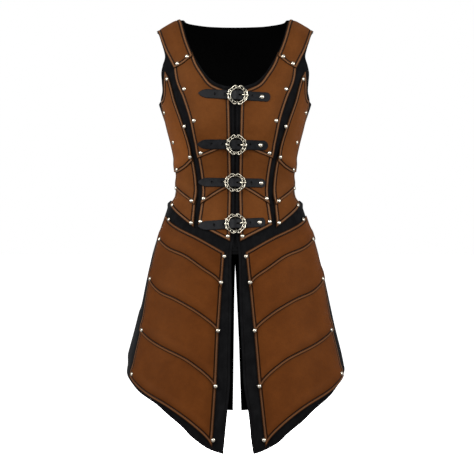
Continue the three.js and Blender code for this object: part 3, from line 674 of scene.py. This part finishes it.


# How light each plate is at its foot and at its top, where it isn't like the most of them. This is
# partly the hide's own colour and partly painted light and shade: the lighter feet of the first side
# plates are painted highlights
PLAIN_TONE_AND_LIGHT = (0.5, 0.5)
PLATE_TONES_AND_LIGHT = {"side_1_right": (1.2, 0.5), "side_1_left": (0.68, 0.56), "side_3_right": (0.48, 0.48),
         "shoulder_right": (0.43, 0.43), "shoulder_left": (0.46, 0.46),
         "centre_1_right": (0.48, 0.42), "centre_1_left": (0.48, 0.44),
         "centre_2_right": (0.4, 0.42), "centre_2_left": (0.45, 0.46),
         "centre_3_right": (0.49, 0.49), "tasset_1_right": (0.42, 0.42),
         "tasset_2_right": (0.49, 0.41), "tasset_2_left": (0.52, 0.47),
         "tasset_3_right": (0.48, 0.48), "tasset_4_right": (0.5, 0.44),
         "tasset_4_left": (0.5, 0.45)}
PLATES = {}                     # each plate's layer, lift and sway, by its name
STITCH_LINES = {"bodice": [], "skirt": []}


def plate(name, panel, layer, low, free, kind, sway=lambda places: places):
    """One plate on each side, and the lines that its stitches follow."""
    lift = lift_over(low)
    PLATES[name] = {"layer": layer, "lift": lift, "sway": sway}
    places = panel.grid(PLATE_SPACING, MARGIN_BANDS)
    from_free = panel.distance(places, free)
    from_edge = panel.distance(places, ["top", "bottom", "inner", "outer"])
    way = places[..., 1]
    g = int(np.argmin(np.abs(MARGIN_BANDS - MARGIN["groove"])))
    grooves = {"inner": (slice(None, -g), g), "bottom": (-1 - g, slice(g, -g)),
               "outer": (slice(None, -g), -1 - g), "top": (g, slice(g, -g))}
    for wearer, turn in SIDES.items():
        worn = turn(places)
        face = tooled(from_free, from_edge) + ripple(form(worn), *PLATE_WAVE)
        outer = lifted(sway(worn), layer[1] + lift(worn) + face)
        inner = lifted(sway(worn), layer[0] + lift(worn))
        foot_and_top = PLATE_TONES_AND_LIGHT.get(f"{name}_{wearer}", PLAIN_TONE_AND_LIGHT)
        values = {"edge": from_free, "tone_and_light": np.interp(way, (way.min(), way.max()), foot_and_top)}
        piece = wall(f"leather_{name}_{wearer}", outer, inner, wearer == "right", values)
        dress(piece, LEATHERS[kind], f"{kind}_leather", f"{name}_{wearer}")
        out = normal(sway(worn))
        STITCH_LINES[kind] += [(outer[on], out[on]) for side, on in grooves.items() if side in free]


HIDE = shade(94, 53, 22)
HIDE_DARK = shade(86, 47, 18)
HIDE_MARGIN = shade(106, 73, 49)
# The groove's dark colour, also laid on the free edges as edge dye and painted shadow
HIDE_GROOVE_AND_EDGE_SHADE = shade(20, 8, 3)
LEATHERS = {"bodice": leather_finish("bodice leather", HIDE, HIDE_DARK, HIDE_MARGIN, HIDE_GROOVE_AND_EDGE_SHADE)}


def tucked(low):
    """The hidden top edge of a plate, under the lower edge of the one above."""
    return line(low) + [0, LAP["tuck"]]


def straight_panel(top, low):
    top = np.asarray(top)
    bottom = line(low)
    return Panel(top, low, [top[0], bottom[0]], [top[-1], bottom[-1]])


CENTRE_LOW = [across([(11, -295), (34.4, -306), (60, -317), (87.5, -328)]),
              across([(9, -396), (21.9, -401.5), (52, -420), (81.5, -440)]),
              across([(11, -527), (48, -508), (86, -487.5)])]
CHEST_OUTER = across([(139, -145), (122.5, -187), (106, -239), (96.5, -285)])
NECK_PLATE = across([(117.5, -39), (103.5, -78), (90, -105), (73, -133), (56, -154.5),
                     (29, -167.5)])
SHOULDER_OUTER = across([(176.5, -45), (162, -79)])
SHOULDER_LOW = across([(99.5, -86.5), (122.6, -105), (143, -115)])
SHOULDER_PLATE_X = (NECK_X - 2.5, 189)
SIDE_TIP = (166.5, -119)
SIDE_OUTER = around([(63.5, -150), (69, -180), (80, -206)])
SIDE_INNER = across([(153.5, -142), (141, -189), (124, -237.6), (108.5, -284)])
SIDE_LOW = [[*across([(97.5, -333), (115, -349.5), (132, -359)]), at_turn(80, -357)],
            [*across([(94, -441), (114, -424), (134, -404)]), at_turn(76, -400)],
            [*across([(95, -494), (125, -470), (147, -447)]), at_turn(72.5, -441)]]
ALL_BUT_TOP = ["inner", "outer", "bottom"]

# The side plates: the first comes to a point beside the armhole
side_top = across([(SIDE_TIP[0] - 4, SIDE_TIP[1] - 4), SIDE_TIP])
side_foot = line(SIDE_LOW[0])
side_panel = Panel(side_top, SIDE_LOW[0], [side_top[0], *SIDE_INNER, side_foot[0]],
                   [side_top[1], *SIDE_OUTER, side_foot[-1]])
for k in (2, 1):
    lower_panel = straight_panel(tucked(SIDE_LOW[k - 1]), SIDE_LOW[k])
    plate(f"side_{k + 1}", lower_panel, PLATE, SIDE_LOW[k], ALL_BUT_TOP, "bodice")
plate("side_1", side_panel, PLATE, SIDE_LOW[0], ALL_BUT_TOP, "bodice")

# The centre plates: the first runs from under the shoulder plate down the neckline and the opening
for k in (2, 1):
    lower_panel = straight_panel(tucked(CENTRE_LOW[k - 1]), CENTRE_LOW[k])
    plate(f"centre_{k + 1}", lower_panel, PLATE, CENTRE_LOW[k], ALL_BUT_TOP, "bodice")
chest_top = tucked(SHOULDER_LOW)
chest_foot = line(CENTRE_LOW[0])
chest_corner = at_x(14, -173)
chest_panel = Panel(chest_top, CENTRE_LOW[0],
                    [[chest_top[0], *NECK_PLATE[2:], chest_corner], [chest_corner, chest_foot[0]]],
                    [chest_top[-1], *CHEST_OUTER, chest_foot[-1]], corner=0.55)
plate("centre_1", chest_panel, PLATE, CENTRE_LOW[0], ALL_BUT_TOP, "bodice")

# The shoulder plates go over the shoulder to its seam
shoulder_top = [at_ridge(x) for x in SHOULDER_PLATE_X]
shoulder_panel = Panel(shoulder_top, SHOULDER_LOW, [shoulder_top[0], NECK_PLATE[0], SHOULDER_LOW[0]],
                       [shoulder_top[1], *SHOULDER_OUTER, SHOULDER_LOW[-1]])
plate("shoulder", shoulder_panel, PLATE, SHOULDER_LOW, ALL_BUT_TOP, "bodice")

# ---------------------------------------------------------------- Skirt leather
# Four tassets a side hang on the skirt cloth, lapped in the same way, of a redder and darker hide.
# Their inner edges swing a little to the wearer's left towards the foot, and the outer edges on the
# wearer's right are drawn to the front, so that the cloth shows beyond them.
TASSET = (SKIRT[1] + LAY, SKIRT[1] + LAY + LEATHER)
TASSET_TOP = around([(7, -551), (31, -512), (71, -473), (85.5, -465)])
TASSET_LOW = [
    around([(8.4, -642), (12, -617), (22, -593), (36, -565), (53, -549), (72, -530), (83, -523)]),
    around([(9.8, -747), (12, -730), (18, -710), (27, -688), (40, -666), (56, -649), (79, -616)]),
    around([(10.6, -874), (14.3, -849), (21.5, -823), (31.5, -799), (52, -770), (74, -741)]),
    around([(12.6, -1003), (15, -984), (20, -962), (28, -935), (39, -908), (55, -882), (75, -850)])]
SWAY = {"top": -556, "foot": -1003, "turn": 2.1, "outer": 80, "drawn": 7.5, "rise": 4}
SKIRT_HIDE = shade(88, 46, 15)
SKIRT_HIDE_DARK = shade(79, 40, 12)
SKIRT_MARGIN = shade(96, 62, 38)
LEATHERS["skirt"] = leather_finish("skirt leather", SKIRT_HIDE, SKIRT_HIDE_DARK, SKIRT_MARGIN,
                                   HIDE_GROOVE_AND_EDGE_SHADE)


def swayed(places):
    down = np.clip((SWAY["top"] - level_of(places[..., 1])) / (SWAY["top"] - SWAY["foot"]), 0, 1)
    outward = np.abs(places[..., 0]) / math.radians(SWAY["outer"])
    drawn = np.where(places[..., 0] < 0, SWAY["drawn"] * outward ** SWAY["rise"], 0)
    turn = SWAY["turn"] * down * np.clip(1 - outward, 0, 1) + drawn
    return np.stack([places[..., 0] + np.radians(turn), places[..., 1]], -1)


for k in (3, 2, 1, 0):
    top = tucked(TASSET_LOW[k - 1]) if k else TASSET_TOP
    panel = straight_panel(top, TASSET_LOW[k])
    free = ALL_BUT_TOP if k else [*ALL_BUT_TOP, "top"]
    plate(f"tasset_{k + 1}", panel, TASSET, TASSET_LOW[k], free, "skirt", swayed)

# ---------------------------------------------------------------- Saddle stitches
# Dark waxed thread lies in every groove and holds each plate's margin to the cloth under it. Each
# stitch is a short round bar that narrows at both ends, where it goes down into the leather.
STITCH = {"pitch": 4.6, "long": 3.3, "radius": 0.42, "sides": 6}
STITCH_PROFILE = [(-0.5, 0.35), (-0.32, 1), (0.32, 1), (0.5, 0.35)]


def turned(sides):
    """The angles of points round a bar, as a column of cosines and one of sines."""
    turns = np.arange(sides)[:, None] * 2 * np.pi / sides
    return np.cos(turns), np.sin(turns)


def quads(rows, sides, joined=False):
    """The faces between rows of points round a bar."""
    faces = []
    for r in range(rows if joined else rows - 1):
        low, high = r * sides, (r + 1) % rows * sides
        faces += [(low + k, low + (k + 1) % sides, high + (k + 1) % sides, high + k)
                  for k in range(sides)]
    return faces


def ends(rows, sides):
    """The two flat ends of a bar."""
    return [tuple(range(sides))[::-1], tuple(range((rows - 1) * sides, rows * sides))]


def join(shapes):
    """Several shapes' points, faces and shades as one."""
    points, faces, shades = [], [], []
    for more, its_faces, its_shades in shapes:
        first = len(points)
        points.extend(more)
        faces.extend(tuple(first + i for i in face) for face in its_faces)
        shades.extend(its_shades)
    return points, faces, shades


def stitch(middle, run, path, out):
    """One stitch with its middle at a run along a path, turned out from the leather."""
    here, ahead, up = [np.stack([np.interp(at, run, track[:, k]) for k in range(3)])
                       for at, track in ((middle, path), (middle + 0.5, path), (middle, out))]
    along = (ahead - here) / max(np.linalg.norm(ahead - here), 1e-9)
    up /= np.linalg.norm(up)
    cos, sin = turned(STITCH["sides"])
    hoop = np.cross(along, up) * cos + up * sin
    points = np.concatenate([here + along * share * STITCH["long"] + hoop * STITCH["radius"] * width
                             for share, width in STITCH_PROFILE])
    size = len(STITCH_PROFILE), STITCH["sides"]
    return points, quads(*size) + ends(*size), []


thread, thread_shader, thread_place = new_finish("waxed thread", {"Roughness": 0.55})
twist = thread_place.grain(0.5, 2)
thread_color = twist.pick(shade(20, 9, 4), shade(38, 19, 9))
lay_on(thread_shader, {"Base Color": thread_color, "Normal": twist.bump(0.05)})
for kind, lines in STITCH_LINES.items():
    sewn = []
    for path, out in lines:
        run = np.append(0, np.linalg.norm(np.diff(path, axis=0), axis=1).cumsum())
        middles = np.arange(STITCH["pitch"], run[-1] - STITCH["pitch"] / 2, STITCH["pitch"])
        sewn += [stitch(middle, run, path, out) for middle in middles]
    points, faces, shades = join(sewn)
    piece = add_mesh(f"stitches_{kind}", points, faces)
    dress(piece, thread, f"{kind}_leather")

# ---------------------------------------------------------------- Rivets
# Cast domes with a low collar, in antiqued silver, hold the corners of the plates. The polish is
# left on the crown and the dark stays round the foot.
RIVET_PROFILE = [(5.0, -1.2, 1), (4.95, 0.1, 1), (4.75, 0.42, 0.75), (4.3, 0.62, 0.35),
                 (4.15, 1.0, 0.25), (3.6, 1.75, 0.05), (2.7, 2.35, 0), (1.4, 2.75, 0), (0, 2.9, 0)]
RIVET_SIDES = 20
RIVET_SEAT = 0.35
RIVETS = {
    "shoulder": [(113, -88), (135, -104)],
    "centre_1": [(119, -165), (95.5, -241), (79, -315)],
    "centre_2": [(73, -425)],
    "centre_3": [(80, -480), (17, -514)],
    "side_1": [(160, -138), (166, -215), (144.5, -287), (117.5, -253), (103.5, -324), (134, -352)],
    "side_2": [(136, -398), (101, -431)],
    "side_3": [(145, -441), (101.5, -483)],
    "tasset_1": [(25, -561), (33, -622), (158, -475), (179, -523)],
    "tasset_2": [(42, -734), (202, -617)],
    "tasset_3": [(50, -862), (222, -739)],
    "tasset_4": [(58, -985), (246, -843)]}


def metal_finish(name, bright, dark, roughness):
    material, shader, place = new_finish(name, {"Metallic": 1.0})
    # The stored value darkens the metal: patina round the feet of the rivets and the studs, and
    # painted shade on the sides and undersides of the ring's strands, on its inner rail and on the
    # tongue's shaft; the bar is darkened all over
    patina_and_shade = place.value_of("patina_and_shade")
    tarnish = place.grain(2.4, 4, 0.65).rise(0.45, 0.75)
    aged_and_shaded = patina_and_shade.rise(0.1, 0.9)
    color = aged_and_shaded.pick(tarnish.pick(bright, shade(176, 166, 148)), dark)
    dents = place.grain(1.6, 3, 0.6).bump(0.12)
    rough = roughness + 0.14 * tarnish + 0.3 * aged_and_shaded
    lay_on(shader, {"Base Color": color, "Roughness": rough, "Normal": dents})
    return material


def lathe(profile, sides, centre, out):
    """A turned shape standing on centre along out: points, faces and how deep in shade each is."""
    up = out / np.linalg.norm(out)
    side = np.cross(up, [0, 0, 1.0])
    side /= np.linalg.norm(side)
    cos, sin = turned(sides)
    hoop = side * cos + np.cross(up, side) * sin
    *hoops, tip = profile
    points = [centre + up * height + radius * hoop for radius, height, _ in hoops]
    points = [*np.concatenate(points), centre + up * tip[1]]
    shades = [*np.repeat([dark for *_, dark in hoops], sides), tip[2]]
    last = (len(hoops) - 1) * sides
    faces = [tuple(range(sides)), *((a, d, c, b) for a, b, c, d in quads(len(hoops), sides))]
    faces += [(last + k, last + sides, last + (k + 1) % sides) for k in range(sides)]
    return points, faces, shades


silver = metal_finish("antiqued silver", shade(226, 218, 202), shade(46, 40, 34), 0.24)
for wearer, turn in SIDES.items():
    domes = []
    for name, spots in RIVETS.items():
        under = PLATES[name]
        for spot in spots:
            here = turn(at_x(*spot))
            swung = under["sway"](here)
            centre = lifted(swung, under["layer"][1] + under["lift"](here) + RIVET_SEAT)
            domes.append(lathe(RIVET_PROFILE, RIVET_SIDES, centre, normal(swung)))
    points, faces, shades = join(domes)
    piece = add_mesh(f"rivets_{wearer}", points, faces, {"patina_and_shade": shades})
    dress(piece, silver, "metal")

# ---------------------------------------------------------------- Buckle tabs
# A short doubled strip of black strap leather, riveted under each strap to the wearer's right front,
# loops round the ring's bar and carries the ring.
CLOSURES = [
    {"x": 6, "z": -182.7, "tilt": -3.6, "from": -92, "to": 76, "stud": 57, "holes": (-53, -30, 34)},
    {"x": 2.8, "z": -296, "tilt": -1.2, "from": -89, "to": 72, "stud": 56, "holes": (-57, -32, 32)},
    {"x": 0, "z": -386.2, "tilt": -1, "from": -86, "to": 70, "stud": 60, "holes": (-53, -30, 37)},
    {"x": 1, "z": -485.6, "tilt": 3.5, "from": -86.5, "to": 69, "stud": 56,
     "holes": (-49, -27.5, 34)}]
TAB = {"half": 9, "thick": 1.2, "reach": 31, "lie": 1.1, "loop": (262, 500), "rise": 0.02}
BAR = {"radius": 1.2, "height": 4.6, "reach": 18.5, "play": 0.3, "dark": 0.85}
RING_MIDDLE = 20.3


def covered(places):
    """How high the centre plates' faces stand over the form."""
    return PLATE[1] + np.max([PLATES[f"centre_{k}"]["lift"](places) for k in (1, 2, 3)], axis=0)


class Closure:
    """A closure's own directions: along the strap, across it, and up from the leather."""

    def __init__(self, spec):
        self.spec = spec
        tilt = math.radians(spec["tilt"])
        self.cos, self.sin = math.cos(tilt), math.sin(tilt)
        near = [self.spot(a, b) for a in (-TAB["reach"], -RING_MIDDLE, 0, RING_MIDDLE)
                for b in (-TAB["half"], 0, TAB["half"])]
        self.base = float(covered(np.array(near)).max())

    def spot(self, along, across):
        x = self.spec["x"] + along * self.cos - across * self.sin
        z = self.spec["z"] + along * self.sin + across * self.cos
        return at_x(x, z)

    def at(self, points):
        """Points of (along, across, height) on the vest."""
        points = np.asarray(points, float)
        return lifted(self.spot(points[..., 0], points[..., 1]), self.base + points[..., 2])


# Dark ink on the cut edges, and painted shade on the walls and floors of the punched holes
INK_AND_HOLE_SHADE = shade(4, 4, 5)            # on the cut edges and inside the holes


def strap_finish(name, dark, light):
    material, shader, place = new_finish(name, {"Specular IOR Level": 0.12})
    edge = place.value_of("edge")
    inked = 1 - edge.rise(0.5, 2.8)
    rubbed = place.grain(12, 4, 0.6).rise(0.35, 0.75)
    color = (inked * 0.75).pick(rubbed.pick(dark, light), INK_AND_HOLE_SHADE)
    # The walls and floors of the punched holes are painted near black, as painted shade
    color = place.value_of("skin").pick(INK_AND_HOLE_SHADE, color)
    grained = place.cells(0.9).bump(0.07, place.grain(7, 3).bump(0.2))
    lay_on(shader, {"Base Color": color, "Roughness": 0.46 + 0.16 * rubbed, "Normal": grained})
    return material


ACROSS = np.array([-1, -0.985, -0.95, -0.88, -0.7, -0.45, -0.2, 0,
                   0.2, 0.45, 0.7, 0.88, 0.95, 0.985, 1])
STRAP_ROUND = 0.6


def ribbon(name, path, half, thick, closure):
    """A strip of leather along a path of (along, height), with round edges."""
    path = np.asarray(path, float)
    way = np.gradient(path, axis=0)
    way /= np.linalg.norm(way, axis=1, keepdims=True)
    run = np.append(0, np.linalg.norm(np.diff(path, axis=0), axis=1).cumsum())
    half = np.broadcast_to(half, len(path))[:, None]
    edge = np.minimum(half * (1 - np.abs(ACROSS)), np.minimum(run, run[-1] - run)[:, None])
    out = thick - rounded(edge, STRAP_ROUND)
    outer = [path[:, :1] - way[:, 1:] * out, half * ACROSS, path[:, 1:] + way[:, :1] * out]
    inner = [path[:, :1] + 0 * edge, half * ACROSS, path[:, 1:] + 0 * edge]
    values = {"edge": edge, "skin": np.ones(edge.shape)}
    faces = [closure.at(np.stack(side, -1)) for side in (outer, inner)]
    return wall(name, *faces, True, values)


strap_leather = strap_finish("black strap leather", shade(15, 16, 18), shade(24, 25, 28))
closures = [Closure(spec) for spec in CLOSURES]
for k, closure in enumerate(closures):
    radius = BAR["radius"] + BAR["play"]
    loop = [(radius * math.cos(t), BAR["height"] + radius * math.sin(t))
            for t in np.radians(np.linspace(*TAB["loop"], 16))]
    flat = [(a, TAB["lie"] - TAB["thick"] / 2 + TAB["rise"] * (a + TAB["reach"]))
            for a in np.linspace(-TAB["reach"], -4, 12)]
    piece = ribbon(f"tab_leather_{k + 1}", flat + loop, TAB["half"], -TAB["thick"], closure)
    dress(piece, strap_leather, "strap_leather", f"tab_{k + 1}")

# ---------------------------------------------------------------- Ring buckles
# A cast wreath: a round inner rail, a vine round it that dips in at the top and at the foot, curls
# with open eyes beside a leaf on each side, short ties between rail and vine, and a bar behind.
RING_HEIGHT = 6.4
# The inner rail is painted darker than the vine, as painted shade
RAIL = {"radius": 16.9, "thick": 0.75, "rise": 0.1, "dark": 0.2}
# The vine's radius and its own thickness, by the angle from either leaf
VINE = np.array([(0, 24.2, 1.3), (11, 22.0, 0.85), (27, 23.6, 1.4), (39, 22.1, 0.85),
                 (50, 21.7, 0.95), (62, 22.5, 1.05), (72, 23.3, 1.55), (82, 21.4, 1.0),
                 (90, 17.8, 0.85)])
EYE = {"at": 21.5, "radius": 2.2, "thick": 0.85, "rise": 0.5, "turn": 26}
TIE = {"thick": (0.8, 0.7, 0.7, 0.9), "sink": 0.5, "turns": (51, 75)}
LEAF = {"run": (17.4, 25.4), "thick": (0.6, 1.2, 1.9, 2.1, 1.7, 1.0, 0.35), "rise": 0.5}
ring_silver = metal_finish("antiqued and shaded ring silver", shade(232, 225, 205), shade(40, 35, 28), 0.22)


def tube(path, radius, sides, joined, closure):
    """A round tube on a path of (along, across, height), as points, faces and shades."""
    path = np.asarray(path, float)
    n = len(path)
    ahead = np.roll(path, -1, 0) - np.roll(path, 1, 0) if joined else np.gradient(path, axis=0)
    ahead /= np.linalg.norm(ahead, axis=1, keepdims=True)
    side = np.cross(ahead, [0, 0, 1.0])
    side /= np.linalg.norm(side, axis=1, keepdims=True)
    cos, sin = turned(sides)
    out = side[:, None] * cos + np.cross(side, ahead)[:, None] * sin
    points = path[:, None] + np.broadcast_to(radius, n)[:, None, None] * out
    # Darker on each strand's sides and underside than on its top: painted shade, with patina in the
    # ring's hollows
    shades = np.clip(0.75 - 0.85 * out[..., 2], 0, 1)
    faces = quads(n, sides, joined) + ([] if joined else ends(n, sides))
    return closure.at(points).reshape(-1, 3), faces, shades.ravel()


def polar(radius, turns, height):
    return np.stack([radius * np.cos(turns), radius * np.sin(turns), height + 0 * turns], -1)


round_ring = np.radians(np.arange(0, 360, 3))
from_side = np.degrees(np.abs((round_ring + np.pi / 2) % np.pi - np.pi / 2))
vine, vine_thick = [np.interp(from_side, VINE[:, 0], VINE[:, k]) for k in (1, 2)]
vine = (vine + np.roll(vine, 1) + np.roll(vine, -1)) / 3
for k, closure in enumerate(closures):
    bar = [(0, b, BAR["height"]) for b in np.linspace(-BAR["reach"], BAR["reach"], 9)]
    bar_points, bar_faces, bar_shades = tube(bar, BAR["radius"], 10, False, closure)
    rail = polar(RAIL["radius"], round_ring, RING_HEIGHT + RAIL["rise"])
    rail_points, rail_faces, rail_shades = tube(rail, RAIL["thick"], 10, True, closure)
    shapes = [
        (bar_points, bar_faces, BAR["dark"] + 0 * bar_shades),
        (rail_points, rail_faces, RAIL["dark"] + rail_shades),
        tube(polar(vine, round_ring, RING_HEIGHT), vine_thick, 10, True, closure)]
    for middle in (0, 180):
        for turn in np.radians([middle - EYE["turn"], middle + EYE["turn"]]):
            eye = polar(EYE["radius"], np.linspace(0, 2 * np.pi, 17)[1:], RING_HEIGHT + EYE["rise"])
            eye[:, :2] += polar(EYE["at"], turn, 0)[:2]
            shapes.append(tube(eye, EYE["thick"], 8, True, closure))
        reach = np.linspace(*LEAF["run"], len(LEAF["thick"]))
        path = polar(reach, math.radians(middle) + 0 * reach, RING_HEIGHT + LEAF["rise"])
        shapes.append(tube(path, LEAF["thick"], 10, False, closure))
        for turn in [*TIE["turns"], *(-t for t in TIE["turns"])]:
            far = np.interp(abs(turn), VINE[:, 0], VINE[:, 1])
            reach = np.linspace(RAIL["radius"], far, len(TIE["thick"]))
            tie = polar(reach, math.radians(middle + turn) + 0 * reach, RING_HEIGHT - TIE["sink"])
            shapes.append(tube(tie, TIE["thick"], 8, False, closure))
    points, faces, shades = join(shapes)
    piece = add_mesh(f"ring_{k + 1}", points, faces, {"patina_and_shade": shades})
    dress(piece, ring_silver, "metal", f"buckle_{k + 1}")

# ---------------------------------------------------------------- Prongs
# A wire tongue hooked round the bar. It comes up through the strap and its tip rests on the ring.
PRONG_RADIUS = 1.0
PRONG_RUN = [(3.2, 3.2), (5.5, 4.0), (8, 5.0), (10.5, 6.6), (13, 8.4), (16, 9.8), (19.5, 10.1),
             (22, 9.8), (23.5, 9.2)]
PRONG_TIP = (1.2, 1.9, 2.0, 1.7, 1.2, 0.4)
PRONG_SIDES = 12
# Where the painted shade on the tongue's shaft ends, and over how long it fades
PRONG_SHADE_RUN = {"to": 9.5, "fade": 3}
for k, closure in enumerate(closures):
    radius = BAR["radius"] + BAR["play"] + PRONG_RADIUS
    hook = [(radius * math.cos(t), BAR["height"] + radius * math.sin(t))
            for t in np.radians(range(150, 331, 20))]
    path = [(a, 0, h) for a, h in [*hook, *PRONG_RUN]]
    thick = [PRONG_RADIUS] * (len(path) - len(PRONG_TIP)) + list(PRONG_TIP)
    points, faces, shades = tube(path, thick, PRONG_SIDES, False, closure)
    # The shaft is painted dark up to where it comes out of the strap, as painted shade, and bright
    # towards the tip
    shaft_shade = 1 - smooth((np.array(path)[:, 0] - PRONG_SHADE_RUN["to"]) / PRONG_SHADE_RUN["fade"])
    patina_and_shade = np.maximum(shades * 0.3, np.repeat(shaft_shade, PRONG_SIDES))
    piece = add_mesh(f"tongue_{k + 1}", points, faces, {"patina_and_shade": patina_and_shade})
    dress(piece, ring_silver, "metal", f"prong_{k + 1}")

# ---------------------------------------------------------------- Straps
# A black leather strap is studded to the left front, goes up over the bar inside the ring and down
# again over the right front, where it ends in a point with punched holes.
STRAP = {"half": 11, "thick": 1.8, "point": 23, "round": 9, "clear": 0.12, "step": 1.9,
         "raised": 30, "hole": 2.5, "hole_floor": 0.5, "slot": (4.3, 9.3), "slot_half": 1.7,
         "slot_floor": 1}
STRAP_LIE = np.array([(-48, 0.45), (-44, 0.5), (-34, 2.3), (-14, 2.3), (-8, 4.8), (-3.5, 7.5),
                      (0, 8), (3.5, 7.5), (8, 4.8), (14, 2.3), (26, 2.2), (38, 0.5), (42, 0.45)])
STIFF = [0.1, 0.2, 0.4, 0.2, 0.1]   # how a strap's height at one step leans on its neighbours'
PUNCH_SIDES = 14
PUNCH_TOP = 20
STUD_PROFILE = [(5.4, -0.8, 1), (5.3, 0.1, 1), (5.1, 0.5, 0.6), (4.6, 0.75, 0.25), (4.3, 1.3, 0.1),
                (3.6, 2.1, 0), (2.5, 2.8, 0), (1.3, 3.2, 0), (0, 3.35, 0)]
STUD_SIDES = 24


def strap_half(spec, along):
    point = (1 - (1 - np.clip((along - spec["from"]) / STRAP["point"], 0, 1)) ** 2.2) ** 0.8
    end = np.sqrt(1 - np.clip((along - spec["to"] + STRAP["round"]) / STRAP["round"], 0, 1) ** 2)
    return STRAP["half"] * np.minimum(point, end)


def punch(closure, near, far, radius, low):
    """A tool that cuts a hole or a slot into a strap, between two places along it, down to the
    height low.
    """
    turns = (np.arange(PUNCH_SIDES) + 0.5) * 2 * np.pi / PUNCH_SIDES
    centres = np.where(np.cos(turns) > 0, far, near)
    hoops = [polar(radius, turns, height) for height in (low, PUNCH_TOP)]
    points = closure.at(np.concatenate(hoops) + np.tile(centres, 2)[:, None] * [1, 0, 0])
    return points, ends(2, PUNCH_SIDES) + quads(2, PUNCH_SIDES), []


for k, closure in enumerate(closures):
    spec = closure.spec
    point = spec["from"] + STRAP["point"] * np.linspace(0.012, 1, 15) ** 1.5
    end = spec["to"] - STRAP["round"] * (1 - np.sin(np.linspace(0, np.pi / 2, 9) * 0.985))
    middle = np.arange(point[-1] + 2, end[0] - 1, STRAP["step"])
    alongs = np.concatenate([point, middle, end])
    rise = np.interp(alongs, *STRAP_LIE.T)
    ground = []
    for along in alongs:
        half = float(strap_half(spec, along))
        near = np.array([closure.spot(along + d, w * half)
                         for d in (-6, -3, 0, 3, 6) for w in (-1, 0, 1)])
        over_tab = abs(along) < STRAP["raised"]
        ground.append(closure.base if over_tab else float(covered(near).max()))
    height = np.array(ground) - closure.base + rise
    soft = np.convolve(np.pad(height, 2, "edge"), STIFF, "valid")
    path = np.stack([alongs, soft + STRAP["clear"]], -1)
    halves = strap_half(spec, alongs)
    piece = ribbon(f"strap_leather_{k + 1}", path, halves, STRAP["thick"], closure)
    floors = np.interp(spec["holes"], alongs, soft) + STRAP["hole_floor"]
    holes = [punch(closure, at, at, STRAP["hole"], low) for at, low in zip(spec["holes"], floors)]
    holes.append(punch(closure, *STRAP["slot"], STRAP["slot_half"], STRAP["slot_floor"]))
    points, faces, shades = join(holes)
    tool = add_mesh("punch", points, faces)
    cut = piece.modifiers.new("holes", "BOOLEAN")
    cut.object = tool
    cut.operation = "DIFFERENCE"
    cut.solver = "EXACT"
    bpy.context.view_layer.update()
    whole = piece.evaluated_get(bpy.context.evaluated_depsgraph_get())
    punched = bpy.data.meshes.new_from_object(whole)
    piece.modifiers.clear()
    piece.data = punched
    bpy.data.objects.remove(tool)
    dress(piece, strap_leather, "strap_leather", f"strap_{k + 1}")
    stud_at = np.interp(spec["stud"], alongs, soft) + STRAP["thick"]
    spot = np.array(closure.spot(spec["stud"], 0))
    centre = lifted(spot, closure.base + stud_at)
    points, faces, shades = lathe(STUD_PROFILE, STUD_SIDES, centre, normal(spot))
    stud = add_mesh(f"stud_{k + 1}", points, faces, {"patina_and_shade": shades})
    dress(stud, silver, "metal")

# ---------------------------------------------------------------- Floor and studio light
# The floor lies where a wearer would stand. The light is a white room with two broad soft boxes in
# front, one on each side, and two behind that rake across the back and are kept out of the shine.
FLOOR_LEVEL = -1.38
FLOOR_HALF = 60
bpy.ops.mesh.primitive_plane_add(size=2 * FLOOR_HALF, location=(0, 0, FLOOR_LEVEL))
floor = bpy.context.object
floor.name = "floor"
WHITE = (1, 1, 1, 1)
pale = new_finish("pale floor", {"Roughness": 0.9, "Base Color": shade(243, 243, 243),
                                 "Emission Color": WHITE, "Emission Strength": 0.9})[0]
floor.data.materials.append(pale)
floor.visible_diffuse = False
floor.visible_glossy = False

world = bpy.data.worlds.new("white room")
world.use_nodes = True
room = Wire(world.node_tree, None)
seen = room.node("Background", {}, {"Color": WHITE, "Strength": 1.0})
lit = room.node("Background", {}, {"Color": WHITE, "Strength": 0.4})
either = room.node("MixShader", {}, {0: room.node("LightPath", {}, {}), 1: lit, 2: seen})
world.node_tree.links.new(either.socket, world.node_tree.nodes["World Output"].inputs["Surface"])
scene.world = world
LIGHTS = [
    {"name": "key", "place": (-1.0, -2.7, 1.6), "size": 1.0, "power": 36},
    {"name": "fill", "place": (1.5, -3.0, 0.1), "size": 1.6, "power": 23},
    {"name": "right side", "place": (-2.1, -1.3, 0.4), "size": 1.0, "power": 45},
    {"name": "left side", "place": (2.1, -1.3, 0.3), "size": 1.0, "power": 36},
    {"name": "back", "place": (-1.8, 2.9, 0.8), "size": 1.2, "power": 340},
    {"name": "left back", "place": (2.3, 2.7, 0.3), "size": 1.2, "power": 120}]
LIGHT_AIM = Vector((0, 0, -0.45))
for spec in LIGHTS:
    data = bpy.data.lights.new(spec["name"], "AREA")
    data.size = spec["size"]
    data.energy = spec["power"]
    lamp = bpy.data.objects.new(spec["name"], data)
    lamp.location = spec["place"]
    lamp.visible_glossy = "back" not in spec["name"]
    lamp.rotation_euler = (LIGHT_AIM - lamp.location).to_track_quat("-Z", "Y").to_euler()
    scene.collection.objects.link(lamp)
scene.view_settings.view_transform = "Standard"
